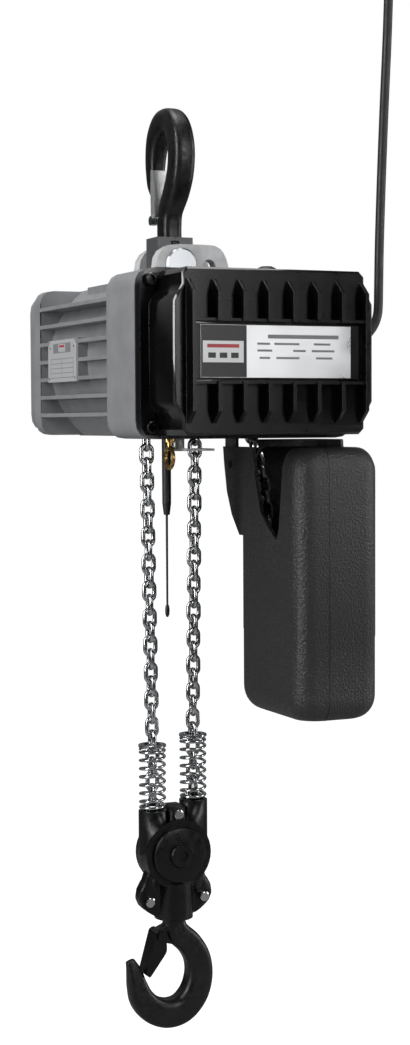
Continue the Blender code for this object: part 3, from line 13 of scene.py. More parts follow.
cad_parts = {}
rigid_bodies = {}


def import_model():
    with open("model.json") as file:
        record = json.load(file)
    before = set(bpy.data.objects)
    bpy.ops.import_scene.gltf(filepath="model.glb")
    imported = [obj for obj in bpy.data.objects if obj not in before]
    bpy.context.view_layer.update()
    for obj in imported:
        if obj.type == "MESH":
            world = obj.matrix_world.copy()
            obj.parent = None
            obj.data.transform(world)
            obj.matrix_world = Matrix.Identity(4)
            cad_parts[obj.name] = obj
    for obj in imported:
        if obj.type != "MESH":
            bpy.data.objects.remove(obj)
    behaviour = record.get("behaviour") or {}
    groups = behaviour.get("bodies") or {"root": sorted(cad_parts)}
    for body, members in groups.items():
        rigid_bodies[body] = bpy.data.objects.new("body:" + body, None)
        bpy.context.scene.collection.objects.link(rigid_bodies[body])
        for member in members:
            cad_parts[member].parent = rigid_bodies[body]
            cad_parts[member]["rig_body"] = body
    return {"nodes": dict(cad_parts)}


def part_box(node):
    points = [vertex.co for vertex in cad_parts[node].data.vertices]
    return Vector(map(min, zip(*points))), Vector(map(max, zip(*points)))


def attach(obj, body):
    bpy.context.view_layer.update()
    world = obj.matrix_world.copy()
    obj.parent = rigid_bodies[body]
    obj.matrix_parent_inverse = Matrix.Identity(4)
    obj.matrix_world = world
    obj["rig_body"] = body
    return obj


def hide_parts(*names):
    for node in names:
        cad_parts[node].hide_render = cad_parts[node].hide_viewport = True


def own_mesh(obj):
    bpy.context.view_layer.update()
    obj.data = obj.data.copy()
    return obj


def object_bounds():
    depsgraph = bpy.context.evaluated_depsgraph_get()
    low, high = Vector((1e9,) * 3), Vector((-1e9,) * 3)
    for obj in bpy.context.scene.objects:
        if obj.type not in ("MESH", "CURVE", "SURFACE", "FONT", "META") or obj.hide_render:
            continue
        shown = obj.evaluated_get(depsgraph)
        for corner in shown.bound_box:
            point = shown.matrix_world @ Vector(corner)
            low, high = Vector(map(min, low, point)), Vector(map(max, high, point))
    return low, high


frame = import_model()
CAD_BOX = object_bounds()

X, Y, Z = np.eye(3)
MM = 0.001

# ---------------------------------------------------------------- camera, stage and light

CAMERA_PLACE = Vector((-0.783, -1.850, -0.313))
CAMERA_AZIMUTH = math.radians(-24.0)
CAMERA_PITCH = math.radians(3.15)
CAMERA_ROLL = math.radians(0.3)
FLOOR_Z = CAD_BOX[0][2] - 0.30


def camera():
    """A camera on a long lens that looks a little down and leans a little to one side."""
    a, p, r = CAMERA_AZIMUTH, CAMERA_PITCH, CAMERA_ROLL
    ahead = Vector((-math.sin(a) * math.cos(p), math.cos(a) * math.cos(p), -math.sin(p)))
    level = Vector((math.cos(a), math.sin(a), 0.0))
    down = ahead.cross(level)
    right = level * math.cos(r) + down * math.sin(r)
    up = level * math.sin(r) - down * math.cos(r)
    made = bpy.data.objects.new("camera", bpy.data.cameras.new("camera"))
    turn = Matrix((right, up, -ahead)).transposed().to_4x4()
    made.matrix_world = Matrix.Translation(CAMERA_PLACE) @ turn
    made.data.lens = 63.0
    made.data.sensor_width = 36.0
    made.data.clip_end = 50.0
    bpy.context.scene.collection.objects.link(made)
    bpy.context.scene.camera = made


def area_light(name, place, aim, size, power):
    """A softbox of (width, height) that points at aim."""
    data = bpy.data.lights.new(name, "AREA")
    data.shape = "RECTANGLE"
    data.size, data.size_y = size
    data.energy = power
    made = bpy.data.objects.new(name, data)
    turn = (Vector(aim) - Vector(place)).to_track_quat("-Z", "Y").to_matrix().to_4x4()
    made.matrix_world = Matrix.Translation(place) @ turn
    bpy.context.scene.collection.objects.link(made)


def stage():
    """A pale floor, softboxes at the left, front, right and above, and a surround that the camera sees as
    white and the metal as soft grey clouds."""
    middle = (0.05, 0.0, -0.35)
    area_light("left_box", (-2.2, -0.5, 0.4), middle, (0.6, 2.4), 58)
    area_light("front_box", (0.7, -2.5, 0.5), middle, (0.5, 1.8), 20)
    area_light("right_box", (2.2, -0.9, 0.0), middle, (0.4, 2.2), 24)
    area_light("top_box", (0.0, 0.2, 2.0), middle, (1.4, 1.4), 34)
    world = bpy.data.worlds.new("surround")
    world.use_nodes = True
    tree = world.node_tree
    shade = tree.nodes["Background"]
    path = node(tree, "ShaderNodeLightPath")
    place = node(tree, "ShaderNodeTexCoord")
    wave = node(tree, "ShaderNodeTexNoise", {"Scale": 1.6, "Detail": 0.0}, {"Vector": (place, "Generated")})
    ramp = node(tree, "ShaderNodeValToRGB", {}, {"Fac": (wave, "Fac")})
    ramp.color_ramp.elements[0].position, ramp.color_ramp.elements[0].color = 0.42, (0.02, 0.02, 0.02, 1)
    ramp.color_ramp.elements[1].position, ramp.color_ramp.elements[1].color = 0.66, (0.30, 0.30, 0.31, 1)
    mix = node(tree, "ShaderNodeMix", {}, {"Factor": (path, "Is Camera Ray")}, data_type="RGBA")
    tree.links.new(ramp.outputs["Color"], mix.inputs[6])
    mix.inputs[7].default_value = (1.0, 1.0, 1.0, 1.0)
    tree.links.new(mix.outputs[2], shade.inputs["Color"])
    bpy.context.scene.world = world
    bpy.ops.mesh.primitive_plane_add(size=24.0, location=(0.0, 6.0, FLOOR_Z))
    floor = bpy.context.object
    floor.name = "floor"
    floor.data.materials.append(pale_floor())
    bpy.context.scene.view_settings.view_transform = "Standard"


# ---------------------------------------------------------------- nodes and colours


def linear(code):
    """A hex sRGB colour as opaque linear light."""
    values = [int(code[i : i + 2], 16) / 255 for i in (0, 2, 4)]
    return (*[v / 12.92 if v <= 0.04045 else ((v + 0.055) / 1.055) ** 2.4 for v in values], 1.0)


def node(tree, kind, values=None, links=None, **settings):
    """Adds a node with its attributes, its socket values and its links of (node, output)."""
    made = tree.nodes.new(kind)
    for key, value in settings.items():
        setattr(made, key, value)
    for key, value in (values or {}).items():
        made.inputs[key].default_value = value
    for key, (source, output) in (links or {}).items():
        tree.links.new(source.outputs[output], made.inputs[key])
    return made


def material(name, **values):
    """A new material with its shader's sockets set; gives the material, its tree and its shader."""
    made = bpy.data.materials.new(name)
    made.use_nodes = True
    shader = made.node_tree.nodes["Principled BSDF"]
    for key, value in values.items():
        shader.inputs[key.replace("_", " ")].default_value = value
    return made, made.node_tree, shader


def noise(tree, mapping, size_mm, detail):
    """A noise texture whose features are size_mm across."""
    return node(
        tree, "ShaderNodeTexNoise", {"Scale": 1.0 / (size_mm * MM), "Detail": detail},
        {"Vector": (mapping, "Vector")},
    )


def grain(tree, shader, size_mm, strength, depth_mm, detail=2.0, stretch=(1, 1, 1)):
    """A bump on object coordinates whose grains are size_mm across and depth_mm deep; gives its mapping."""
    place = node(tree, "ShaderNodeTexCoord")
    mapping = node(tree, "ShaderNodeMapping", {"Scale": stretch}, {"Vector": (place, "Object")})
    pattern = noise(tree, mapping, size_mm, detail)
    values = {"Strength": strength, "Distance": depth_mm * MM}
    bump = node(tree, "ShaderNodeBump", values, {"Height": (pattern, "Fac")})
    tree.links.new(bump.outputs["Normal"], shader.inputs["Normal"])
    return mapping


def mottle(tree, shader, mapping, socket, size_mm, low, high):
    """A slow variation of a socket between two values or two colours, in patches of size_mm."""
    ramp = node(tree, "ShaderNodeValToRGB", {}, {"Fac": (noise(tree, mapping, size_mm, 4.0), "Fac")})
    for element, place, value in zip(ramp.color_ramp.elements, (0.35, 0.65), (low, high)):
        element.position = place
        element.color = value if isinstance(value, tuple) else (value, value, value, 1.0)
    tree.links.new(ramp.outputs["Color"], shader.inputs[socket])


# ---------------------------------------------------------------- materials


def pale_floor():
    """Painted board: plain, pale and matt, so far off that it throws no light back on the hoist."""
    made, tree, shader = material(
        "pale_painted_board", Base_Color=linear("9A9A99"), Roughness=0.9, Emission_Color=(1.0, 1.0, 1.0, 1.0)
    )
    path = node(tree, "ShaderNodeLightPath")
    tree.links.new(path.outputs["Is Camera Ray"], shader.inputs["Emission Strength"])
    return made


def grey_cast():
    """Die-cast aluminium, shot-blasted and powder coated grey: fine orange peel and a little mottling."""
    made, tree, shader = material("grey_powder_coated_casting", Base_Color=linear("848587"), Roughness=0.38)
    mapping = grain(tree, shader, 0.9, 0.35, 0.10)
    mottle(tree, shader, mapping, "Base Color", 35.0, linear("7F8082"), linear("8A8B8D"))
    mottle(tree, shader, mapping, "Roughness", 12.0, 0.36, 0.44)
    return made


def lug_cast():
    """The same casting paint in a lighter tone, with a coarser cast skin."""
    made, tree, shader = material("light_grey_cast_lug", Base_Color=linear("B9BABB"), Roughness=0.36)
    mapping = grain(tree, shader, 1.6, 0.45, 0.20)
    mottle(tree, shader, mapping, "Base Color", 14.0, linear("AFB0B1"), linear("C4C5C6"))
    return made


def gloss_black():
    """Die-cast aluminium in gloss black stoved enamel: deep black, sharp reflections, faint orange peel."""
    made, tree, shader = material(
        "gloss_black_enamel", Base_Color=linear("040404"), Roughness=0.30, Specular_IOR_Level=0.25,
        Coat_Weight=0.8, Coat_Roughness=0.07,
    )
    mapping = grain(tree, shader, 2.2, 0.20, 0.06)
    mottle(tree, shader, mapping, "Roughness", 20.0, 0.26, 0.34)
    return made


def satin_black():
    """Cast iron painted satin black: the cast skin shows through as small dimples."""
    made, tree, shader = material(
        "satin_black_painted_iron", Base_Color=linear("050505"), Roughness=0.34, Specular_IOR_Level=0.35,
    )
    mapping = grain(tree, shader, 1.2, 0.40, 0.15)
    mottle(tree, shader, mapping, "Roughness", 8.0, 0.26, 0.42)
    return made


def forged_black():
    """Drop-forged alloy steel with a black finish: low sheen, scale marks and slow waves of the die."""
    made, tree, shader = material(
        "black_forged_steel", Base_Color=linear("0B0B0C"), Roughness=0.34, Specular_IOR_Level=0.4,
    )
    mapping = grain(tree, shader, 2.4, 0.30, 0.25, detail=6.0)
    mottle(tree, shader, mapping, "Base Color", 9.0, linear("080808"), linear("131314"))
    mottle(tree, shader, mapping, "Roughness", 5.0, 0.28, 0.48)
    return made


def dark_paint():
    """Machined steel painted dark grey, satin."""
    made, tree, shader = material("dark_grey_painted_steel", Base_Color=linear("4B4C4E"), Roughness=0.38)
    grain(tree, shader, 1.0, 0.25, 0.08)
    return made


def bright_zinc():
    """Electroplated bright zinc on steel wire: nearly a mirror, a little cloudy."""
    made, tree, shader = material(
        "bright_zinc_plated_steel", Base_Color=linear("BDBFC1"), Metallic=1.0, Roughness=0.18,
    )
    mapping = grain(tree, shader, 1.5, 0.25, 0.06)
    mottle(tree, shader, mapping, "Roughness", 3.0, 0.10, 0.26)
    return made


def zinc_sheet():
    """Pressed sheet steel, zinc plated and dulled: even pale grey with a soft sheen."""
    made, tree, shader = material(
        "dull_zinc_plated_sheet", Base_Color=linear("C3C4C4"), Metallic=0.8, Roughness=0.42,
    )
    mapping = grain(tree, shader, 0.8, 0.2, 0.04)
    mottle(tree, shader, mapping, "Roughness", 6.0, 0.36, 0.52)
    return made


def yellow_zinc():
    """Yellow passivated zinc: gold with rainbow patches of rose and green."""
    made, tree, shader = material(
        "yellow_passivated_zinc", Base_Color=linear("C79A4B"), Metallic=1.0, Roughness=0.24,
    )
    mapping = grain(tree, shader, 1.4, 0.2, 0.05)
    mottle(tree, shader, mapping, "Base Color", 5.0, linear("B98A5A"), linear("D3B567"))
    return made


def machined_steel():
    """Turned or ground steel, lightly oiled."""
    made, tree, shader = material(
        "machined_steel", Base_Color=linear("A9ABAE"), Metallic=1.0, Roughness=0.30,
    )
    grain(tree, shader, 0.7, 0.3, 0.03, stretch=(1, 8, 1))
    return made


def winding():
    """Varnished copper winding and laminations: fine parallel lines across the axis."""
    made, tree, shader = material(
        "varnished_copper_winding", Base_Color=linear("A8603A"), Metallic=0.7, Roughness=0.38,
    )
    grain(tree, shader, 1.0, 0.7, 0.3, stretch=(0.1, 1.0, 0.1))
    return made


def black_rubber():
    """Moulded rubber and PVC: matt black with a faint bloom."""
    made, tree, shader = material("black_moulded_rubber", Base_Color=linear("1A1A1B"), Roughness=0.50)
    mapping = grain(tree, shader, 0.8, 0.2, 0.05)
    mottle(tree, shader, mapping, "Roughness", 15.0, 0.42, 0.58)
    return made


def pebbled_plastic():
    """Moulded black polyethylene: a leathery pebble, about 2 mm across, with a greasy sheen."""
    made, tree, shader = material("pebbled_black_polyethylene", Base_Color=linear("2A2A2B"), Roughness=0.40)
    mapping = grain(tree, shader, 2.4, 1.0, 1.3, detail=3.0)
    mottle(tree, shader, mapping, "Roughness", 4.0, 0.32, 0.50)
    return made


def brushed_label():
    """Brushed aluminium label: fine scratches along its length."""
    made, tree, shader = material(
        "brushed_aluminium_label", Base_Color=linear("E2E3E4"), Metallic=0.85, Roughness=0.34,
    )
    grain(tree, shader, 1.2, 0.12, 0.01, stretch=(0.05, 0.05, 1.0))
    place = node(tree, "ShaderNodeTexCoord")
    even = node(tree, "ShaderNodeMapping", {}, {"Vector": (place, "Object")})
    mottle(tree, shader, even, "Roughness", 40.0, 0.26, 0.46)
    return made


def board_green():
    """Glass-epoxy circuit board with green solder mask."""
    made, tree, shader = material("green_circuit_board", Base_Color=linear("1F5A35"), Roughness=0.35)
    grain(tree, shader, 1.2, 0.3, 0.05)
    return made


def plain(name, code, roughness, metallic=0.0):
    """A printed mark in one ink colour with a very fine grain. The black one also colours the container's
    seam ridges, where its darkness is painted shade.
    """
    made, tree, shader = material(name, Base_Color=linear(code), Roughness=roughness, Metallic=metallic)
    grain(tree, shader, 0.5, 0.15, 0.02)
    return made


FINISHES = {
    "grey": grey_cast(),
    "lug": lug_cast(),
    "gloss": gloss_black(),
    "satin": satin_black(),
    "forged": forged_black(),
    "dark": dark_paint(),
    "bright": bright_zinc(),
    "sheet": zinc_sheet(),
    "yellow": yellow_zinc(),
    "steel": machined_steel(),
    "copper": winding(),
    "rubber": black_rubber(),
    "pebble": pebbled_plastic(),
    "label": brushed_label(),
    "board": board_green(),
    # black print; on the container's seam ridges this same black is painted shade along the parting line
    "ink": plain("black_print_and_painted_seam_shade", "151516", 0.35),
    "badge": plain("pale_grey_print", "C9CACB", 0.30, 0.3),
    "red": plain("red_print", "B3303A", 0.35),
    "pale_ink": plain("pale_print", "7E7F82", 0.35),
}

# ---------------------------------------------------------------- surfaces


def piece(name, points, faces, look, body, sharp=40.0):
    """A finished piece whose mesh holds points and faces, smooth except at edges past sharp degrees."""
    mesh = bpy.data.meshes.new(name)
    mesh.from_pydata(np.asarray(points, float).tolist(), [], faces)
    mesh.validate()
    made = bpy.data.objects.new(name, mesh)
    bpy.context.scene.collection.objects.link(made)
    mesh.materials.append(FINISHES[look])
    mesh.shade_smooth()
    mesh.set_sharp_from_angle(angle=math.radians(sharp))
    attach(made, body)
    return made


def skin(rows, columns, wrap_rows=False):
    """Quads over a grid whose rows are loops. The rows close on themselves, or get a face at each end."""
    r = np.arange(rows if wrap_rows else rows - 1)[:, None]
    c = np.arange(columns)[None, :]
    r2, c2 = (r + 1) % rows, (c + 1) % columns
    quads = np.stack([r * columns + c, r * columns + c2, r2 * columns + c2, r2 * columns + c], -1)
    faces = quads.reshape(-1, 4).tolist()
    if not wrap_rows:
        faces.append(list(range(columns))[::-1])
        faces.append([(rows - 1) * columns + i for i in range(columns)])
    return faces


def unit(vectors):
    """Each vector at length one."""
    return vectors / np.linalg.norm(vectors, axis=-1, keepdims=True)


def carried(path, level, radius, sides, flat=1.0, closed=False, power=2.0):
    """Ovals carried along a path: each is the unit super-ellipse |u|^p + |v|^p = 1, with u in the path's
    plane and v along level, times the radius at that place, v also times flat."""
    path = np.asarray(path, float)
    ahead = np.roll(path, -1, 0) - np.roll(path, 1, 0) if closed else np.gradient(path, axis=0)
    level = np.broadcast_to(np.asarray(level, float), path.shape)
    side = unit(np.cross(unit(ahead), level))
    up = unit(np.cross(side, ahead))
    t = np.linspace(0, 2 * np.pi, sides, endpoint=False)
    u = np.sign(np.cos(t)) * np.abs(np.cos(t)) ** (2 / power)
    v = np.sign(np.sin(t)) * np.abs(np.sin(t)) ** (2 / power)
    size = np.broadcast_to(np.asarray(radius, float), len(path))[:, None, None]
    across = u[None, :, None] * side[:, None, :]
    return path[:, None, :] + size * (across + flat * v[None, :, None] * up[:, None, :])


def tube(name, path, level, radius, sides, look, body):
    """A round wire along an open path."""
    grid = carried(path, level, radius, sides)
    return piece(name, grid.reshape(-1, 3), skin(len(grid), sides), look, body)


def curve_through(places, count):
    """Points evenly spread along a Catmull-Rom curve through places, which may carry a radius as well."""
    p = np.asarray(places, float)
    p = np.vstack([2 * p[0] - p[1], p, 2 * p[-1] - p[-2]])
    s = np.linspace(0, len(places) - 1, count)
    k = np.minimum(s.astype(int), len(places) - 2)
    t = (s - k)[:, None]
    a, b, c, d = p[k], p[k + 1], p[k + 2], p[k + 3]
    return 0.5 * (2 * b + (c - a) * t + (2 * a - 5 * b + 4 * c - d) * t**2 + (3 * b - a - 3 * c + d) * t**3)


def turned(profile, centre, axis, steps, ring=False):
    """Points and faces of a turned shape: (radius, height) points swept round the axis through centre."""
    axis = np.asarray(axis, float)
    first = unit(np.cross(axis, Y if abs(axis[1]) < 0.9 else X))
    t = np.linspace(0, 2 * np.pi, steps, endpoint=False)
    out = np.cos(t)[:, None] * first + np.sin(t)[:, None] * np.cross(axis, first)
    p = np.asarray(profile, float)
    grid = np.asarray(centre) + p[:, 0, None, None] * out[None] + p[:, 1, None, None] * axis
    return grid.reshape(-1, 3), skin(len(p), steps, wrap_rows=ring)


def lathe(name, profile, centre, axis, look, body, steps, ring=False):
    """A turned piece, closed and facing out."""
    made = piece(name, *turned(profile, centre, axis, steps, ring), look, body, 30.0)
    return outward(made)


def outward(obj, sewn=True):
    """Turns every face outwards, after closing the seams where sewn."""
    work = bmesh.new()
    work.from_mesh(obj.data)
    if sewn:
        bmesh.ops.remove_doubles(work, verts=work.verts, dist=0.002 * MM)
    bmesh.ops.recalc_face_normals(work, faces=work.faces)
    work.to_mesh(obj.data)
    work.free()
    return obj


def slab(name, low, high, look, body, edge):
    """A box between two corners whose edges are rounded by a bevel of that width."""
    low, high = np.asarray(low, float), np.asarray(high, float)
    corners = np.array([[x, y, z] for x in (0, 1) for y in (0, 1) for z in (0, 1)])
    faces = [[0, 1, 3, 2], [4, 6, 7, 5], [0, 4, 5, 1], [2, 3, 7, 6], [0, 2, 6, 4], [1, 5, 7, 3]]
    made = piece(name, low + corners * (high - low), faces, look, body)
    bevelled(made, edge)
    return made


def solid(name, shape, look, body):
    """A piece from one (points, faces) shape, facing out, whose seams are left as they are."""
    return outward(piece(name, *shape, look, body), sewn=False)


def bevelled(obj, width, angle=30):
    """Rounds the edges sharper than angle degrees, in two segments; gives the modifier."""
    bevel = obj.modifiers.new("edges", "BEVEL")
    bevel.width, bevel.segments = width, 2
    bevel.limit_method, bevel.angle_limit = "ANGLE", math.radians(angle)
    return bevel


def applied(obj):
    """The object with its modifiers made part of its mesh."""
    bpy.context.view_layer.update()
    graph = bpy.context.evaluated_depsgraph_get()
    mesh = bpy.data.meshes.new_from_object(obj.evaluated_get(graph))
    obj.modifiers.clear()
    obj.data = mesh
    return obj


# ---------------------------------------------------------------- power cable

CABLE_Y = -0.020
CABLE_ROUTE = [
    (0.1995, -0.2250), (0.2070, -0.2250), (0.2179, -0.2236), (0.2280, -0.2194), (0.2367, -0.2127),
    (0.2434, -0.2040), (0.2476, -0.1939), (0.2490, -0.1830), (0.2495, -0.1600), (0.2505, -0.1100),
    (0.2530, -0.0400), (0.2565, 0.0400), (0.2605, 0.1200), (0.2635, 0.2000),
]
CABLE_DIAMETER = 0.0105


def power_cable():
    """The supply cable, a round sheath along one smooth curve from the gland to the ceiling fitting."""
    route = curve_through([(x, CABLE_Y, z) for x, z in CABLE_ROUTE], 60)
    curve = bpy.data.curves.new("power_cable_sheath", "CURVE")
    curve.dimensions = "3D"
    curve.bevel_depth = CABLE_DIAMETER / 2
    curve.bevel_resolution = 6
    curve.use_fill_caps = True
    spline = curve.splines.new("POLY")
    spline.points.add(len(route) - 1)
    spline.points.foreach_set("co", np.hstack([route, np.ones((len(route), 1))]).ravel())
    curve.materials.append(FINISHES["rubber"])
    made = bpy.data.objects.new("power_cable_sheath", curve)
    bpy.context.scene.collection.objects.link(made)
    spline.use_smooth = True
    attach(made, "hoist_body")
    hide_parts("power_cable")


# ---------------------------------------------------------------- chain

LINK_WIRE = 0.005
LINK_PITCH = 0.015
LINK_WIDTH = 0.017
FALL_TOP = 0.0295
FALL_LOW = 0.0244
SPRING_TOP_Z = -0.6587
FALL_END_Z = -0.762
FALL_ANCHOR_Z = -0.290


def link_path(count):
    """The centreline of a link in the XZ plane: two half circles joined by straight sides."""
    bend = (LINK_WIDTH - LINK_WIRE) / 2
    straight = (LINK_PITCH + LINK_WIRE) / 2 - bend
    t = np.linspace(0, 2 * np.pi, count, endpoint=False) + np.pi / count
    return np.stack([bend * np.cos(t), 0 * t, bend * np.sin(t) + straight * np.sign(np.sin(t))], -1)


def chain(name, centres, headings, turns, look, body, sides=10, count=28):
    """Links at centres: each one's long axis lies along its heading and its plane is turned about it."""
    link = carried(link_path(count), (0, 1, 0), LINK_WIRE / 2, sides, closed=True).reshape(-1, 3)
    headings = unit(np.asarray(headings, float))
    reference = np.where(np.abs(headings[:, 2:3]) > 0.9, X, Z)
    across = unit(reference - (reference * headings).sum(-1, keepdims=True) * headings)
    depth = np.cross(headings, across)
    c, s = np.cos(turns)[:, None], np.sin(turns)[:, None]
    first, second = c * across + s * depth, c * depth - s * across
    points = (
        np.asarray(centres)[:, None, :]
        + link[None, :, 0:1] * first[:, None, :]
        + link[None, :, 1:2] * second[:, None, :]
        + link[None, :, 2:3] * headings[:, None, :]
    )
    faces = np.array(skin(count, sides, wrap_rows=True))
    faces = (faces[None] + np.arange(len(points))[:, None, None] * len(link)).reshape(-1, 4)
    return piece(name, points.reshape(-1, 3), faces.tolist(), look, body)


def falls():
    """Two hanging runs of chain from the body down to the load block."""
    for name, side, first in (("left", -1, -0.3030), ("right", 1, -0.3124)):
        z = np.arange(first, FALL_END_Z + 0.012, -LINK_PITCH)
        x = side * np.interp(z, [SPRING_TOP_Z, FALL_ANCHOR_Z], [FALL_LOW, FALL_TOP])
        centres = np.stack([x, 0 * x, z], -1)
        odd = np.arange(len(z)) % 2
        turns = np.pi / 2 * (odd if name == "right" else 1 - odd) + 0.10 * np.sin(1.7 * np.arange(len(z)))
        made = chain(f"{name}_fall_links", centres, np.tile(Z, (len(z), 1)), turns, "bright", "hoist_body")
        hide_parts(f"chain_fall_{name}")
        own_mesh(made)


def slack_links():
    """The slack run from the load wheel into the container."""
    top = 0.089
    route = curve_through(
        [(top, 0, -0.2975), (top + 0.0125, 0, -0.343), (top + 0.026, 0, -0.400), (top + 0.034, 0, -0.537)],
        60,
    )
    run = np.concatenate([[0], np.cumsum(np.linalg.norm(np.diff(route, axis=0), axis=1))])
    places = np.arange(0.0, run[-1], LINK_PITCH)
    centres = np.stack([np.interp(places, run, route[:, i]) for i in range(3)], -1)
    made = chain(
        "slack_links", centres, -np.gradient(centres, axis=0), np.pi / 2 * (np.arange(len(centres)) % 2),
        "bright", "hoist_body", 8, 20,
    )
    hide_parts("slack_chain")


def stored_links():
    """A heap of links in the bottom of the container, scattered at random."""
    low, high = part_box("stored_chain")
    rng = np.random.default_rng(7)
    count = 150
    margin = 0.014
    span = np.array([high[i] - low[i] - 2 * margin for i in range(3)])
    centres = np.array(low) + margin + rng.random((count, 3)) * span
    headings = rng.normal(size=(count, 3)) * (1, 1, 0.5)
    made = chain("stored_links", centres, headings, rng.random(count) * np.pi, "bright", "hoist_body", 6, 14)
    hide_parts("stored_chain")


# ---------------------------------------------------------------- springs


def springs():
    """Coil springs with closed ends: a helix whose pitch eases to one wire at both ends."""
    wire, radius, turns = 0.00165, 0.01345, 8.5
    for name, side in (("left", -1), ("right", 1)):
        low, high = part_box(f"spring_{name}")
        start, end = low[2] + wire, high[2] - wire
        t = np.linspace(0, turns, int(turns * 36))
        pitch = 2 * wire + 0.0001
        share = np.clip((t - 1) / (turns - 2), 0, 1)
        closed = pitch * (np.minimum(t, 1) + np.maximum(t - turns + 1, 0))
        z = start + closed + (end - start - 2 * pitch) * share
        angle = 2 * np.pi * t
        path = np.stack([side * FALL_LOW + radius * np.cos(angle), radius * np.sin(angle), z], -1)
        made = tube(f"{name}_coil", path, Z, wire, 12, "bright", "load_block")
        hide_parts(f"spring_{name}")
        cap_low, cap_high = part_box(f"spring_cap_{name}")
        top, bottom, edge = cap_high[2], cap_low[2], 0.0006
        profile = [
            (0.0098, top - edge), (0.0104, top), (0.0149, top), (0.0155, top - edge),
            (0.0155, bottom + edge), (0.0149, bottom), (0.0098, bottom),
        ]
        ring = lathe(
            f"{name}_spring_ring", profile, (side * FALL_LOW, 0, 0), Z, "bright", "load_block", 56, ring=True
        )
        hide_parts(f"spring_cap_{name}")


# ---------------------------------------------------------------- hooks


def prism(outline, across, along, low, high):
    """Points and faces of a flat outline, given in (across, along), between two levels of its normal."""
    across, along = np.asarray(across, float), np.asarray(along, float)
    level = np.cross(across, along)
    flat = np.asarray(outline, float)
    flat = flat[:, :1] * across + flat[:, 1:] * along
    grid = np.stack([flat + low * level, flat + high * level])
    return grid.reshape(-1, 3), skin(2, len(flat))


def joined(shapes):
    """Several (points, faces) as one."""
    points, faces, start = [], [], 0
    for p, f in shapes:
        points.append(np.asarray(p).reshape(-1, 3))
        faces += [[i + start for i in face] for face in f]
        start += len(points[-1])
    return np.vstack(points), faces


FORGING_CELL = 0.0008
FILLET_PASSES = 3


def forging(name, shapes, body):
    """Closed shapes that run into each other made one skin with soft fillets, as a forging has."""
    made = solid(name, joined(shapes), "forged", body)
    remesh = made.modifiers.new("one skin", "REMESH")
    remesh.mode, remesh.voxel_size, remesh.use_smooth_shade = "VOXEL", FORGING_CELL, True
    ease = made.modifiers.new("soft fillets", "SMOOTH")
    ease.factor, ease.iterations = 0.5, FILLET_PASSES
    return applied(made)


HOOK_POWER = 3.4
TOP_ROUTE = [
    (0.0, -0.1155, 0.0135), (0.0, -0.1000, 0.0135), (-0.004, -0.083, 0.0135), (-0.020, -0.064, 0.0145),
    (-0.031, -0.045, 0.0148), (-0.034, -0.022, 0.0148), (-0.027, -0.002, 0.0145), (-0.015, 0.0095, 0.0138),
    (0.0, 0.0135, 0.0135), (0.017, 0.0105, 0.0135), (0.031, -0.003, 0.0130), (0.0375, -0.022, 0.0118),
    (0.0390, -0.040, 0.0105), (0.0405, -0.053, 0.0085), (0.0420, -0.062, 0.0050),
]
LOW_ROUTE = [
    (0.0, -0.8485, 0.0120), (0.0, -0.8660, 0.0120), (0.004, -0.8800, 0.0135), (0.018, -0.8940, 0.0140),
    (0.0275, -0.9110, 0.0145), (0.0295, -0.9310, 0.0152), (0.0235, -0.9510, 0.0158),
    (0.0095, -0.9660, 0.0160), (-0.0085, -0.9700, 0.0160), (-0.0260, -0.9640, 0.0152),
    (-0.0385, -0.9510, 0.0138), (-0.0445, -0.9350, 0.0112), (-0.0480, -0.9190, 0.0085),
    (-0.0525, -0.9060, 0.0050),
]
TOP_PIVOT = (0.0195, -0.0926)
LOW_PIVOT = (-0.0190, -0.8800)
LUG_HALF = 0.006
TIP_REACH = 0.35
TIP_SIZE = 0.55


def hook_bar(route, across, share):
    """A bar along a route of (across, height, radius), each section a super-ellipse flattened by share."""
    sides = 36
    line = curve_through(route, 90)
    path = line[:, :1] * across + line[:, 1:2] * Z
    grid = carried(path, np.cross(across, Z), line[:, 2], sides, flat=share, power=HOOK_POWER)
    tip = grid[-1].mean(0) + (path[-1] - path[-2]) * TIP_REACH
    last = tip + TIP_SIZE * (grid[-1] - grid[-1].mean(0))
    grid = np.concatenate([grid, last[None]])
    return grid.reshape(-1, 3), skin(len(grid), sides)


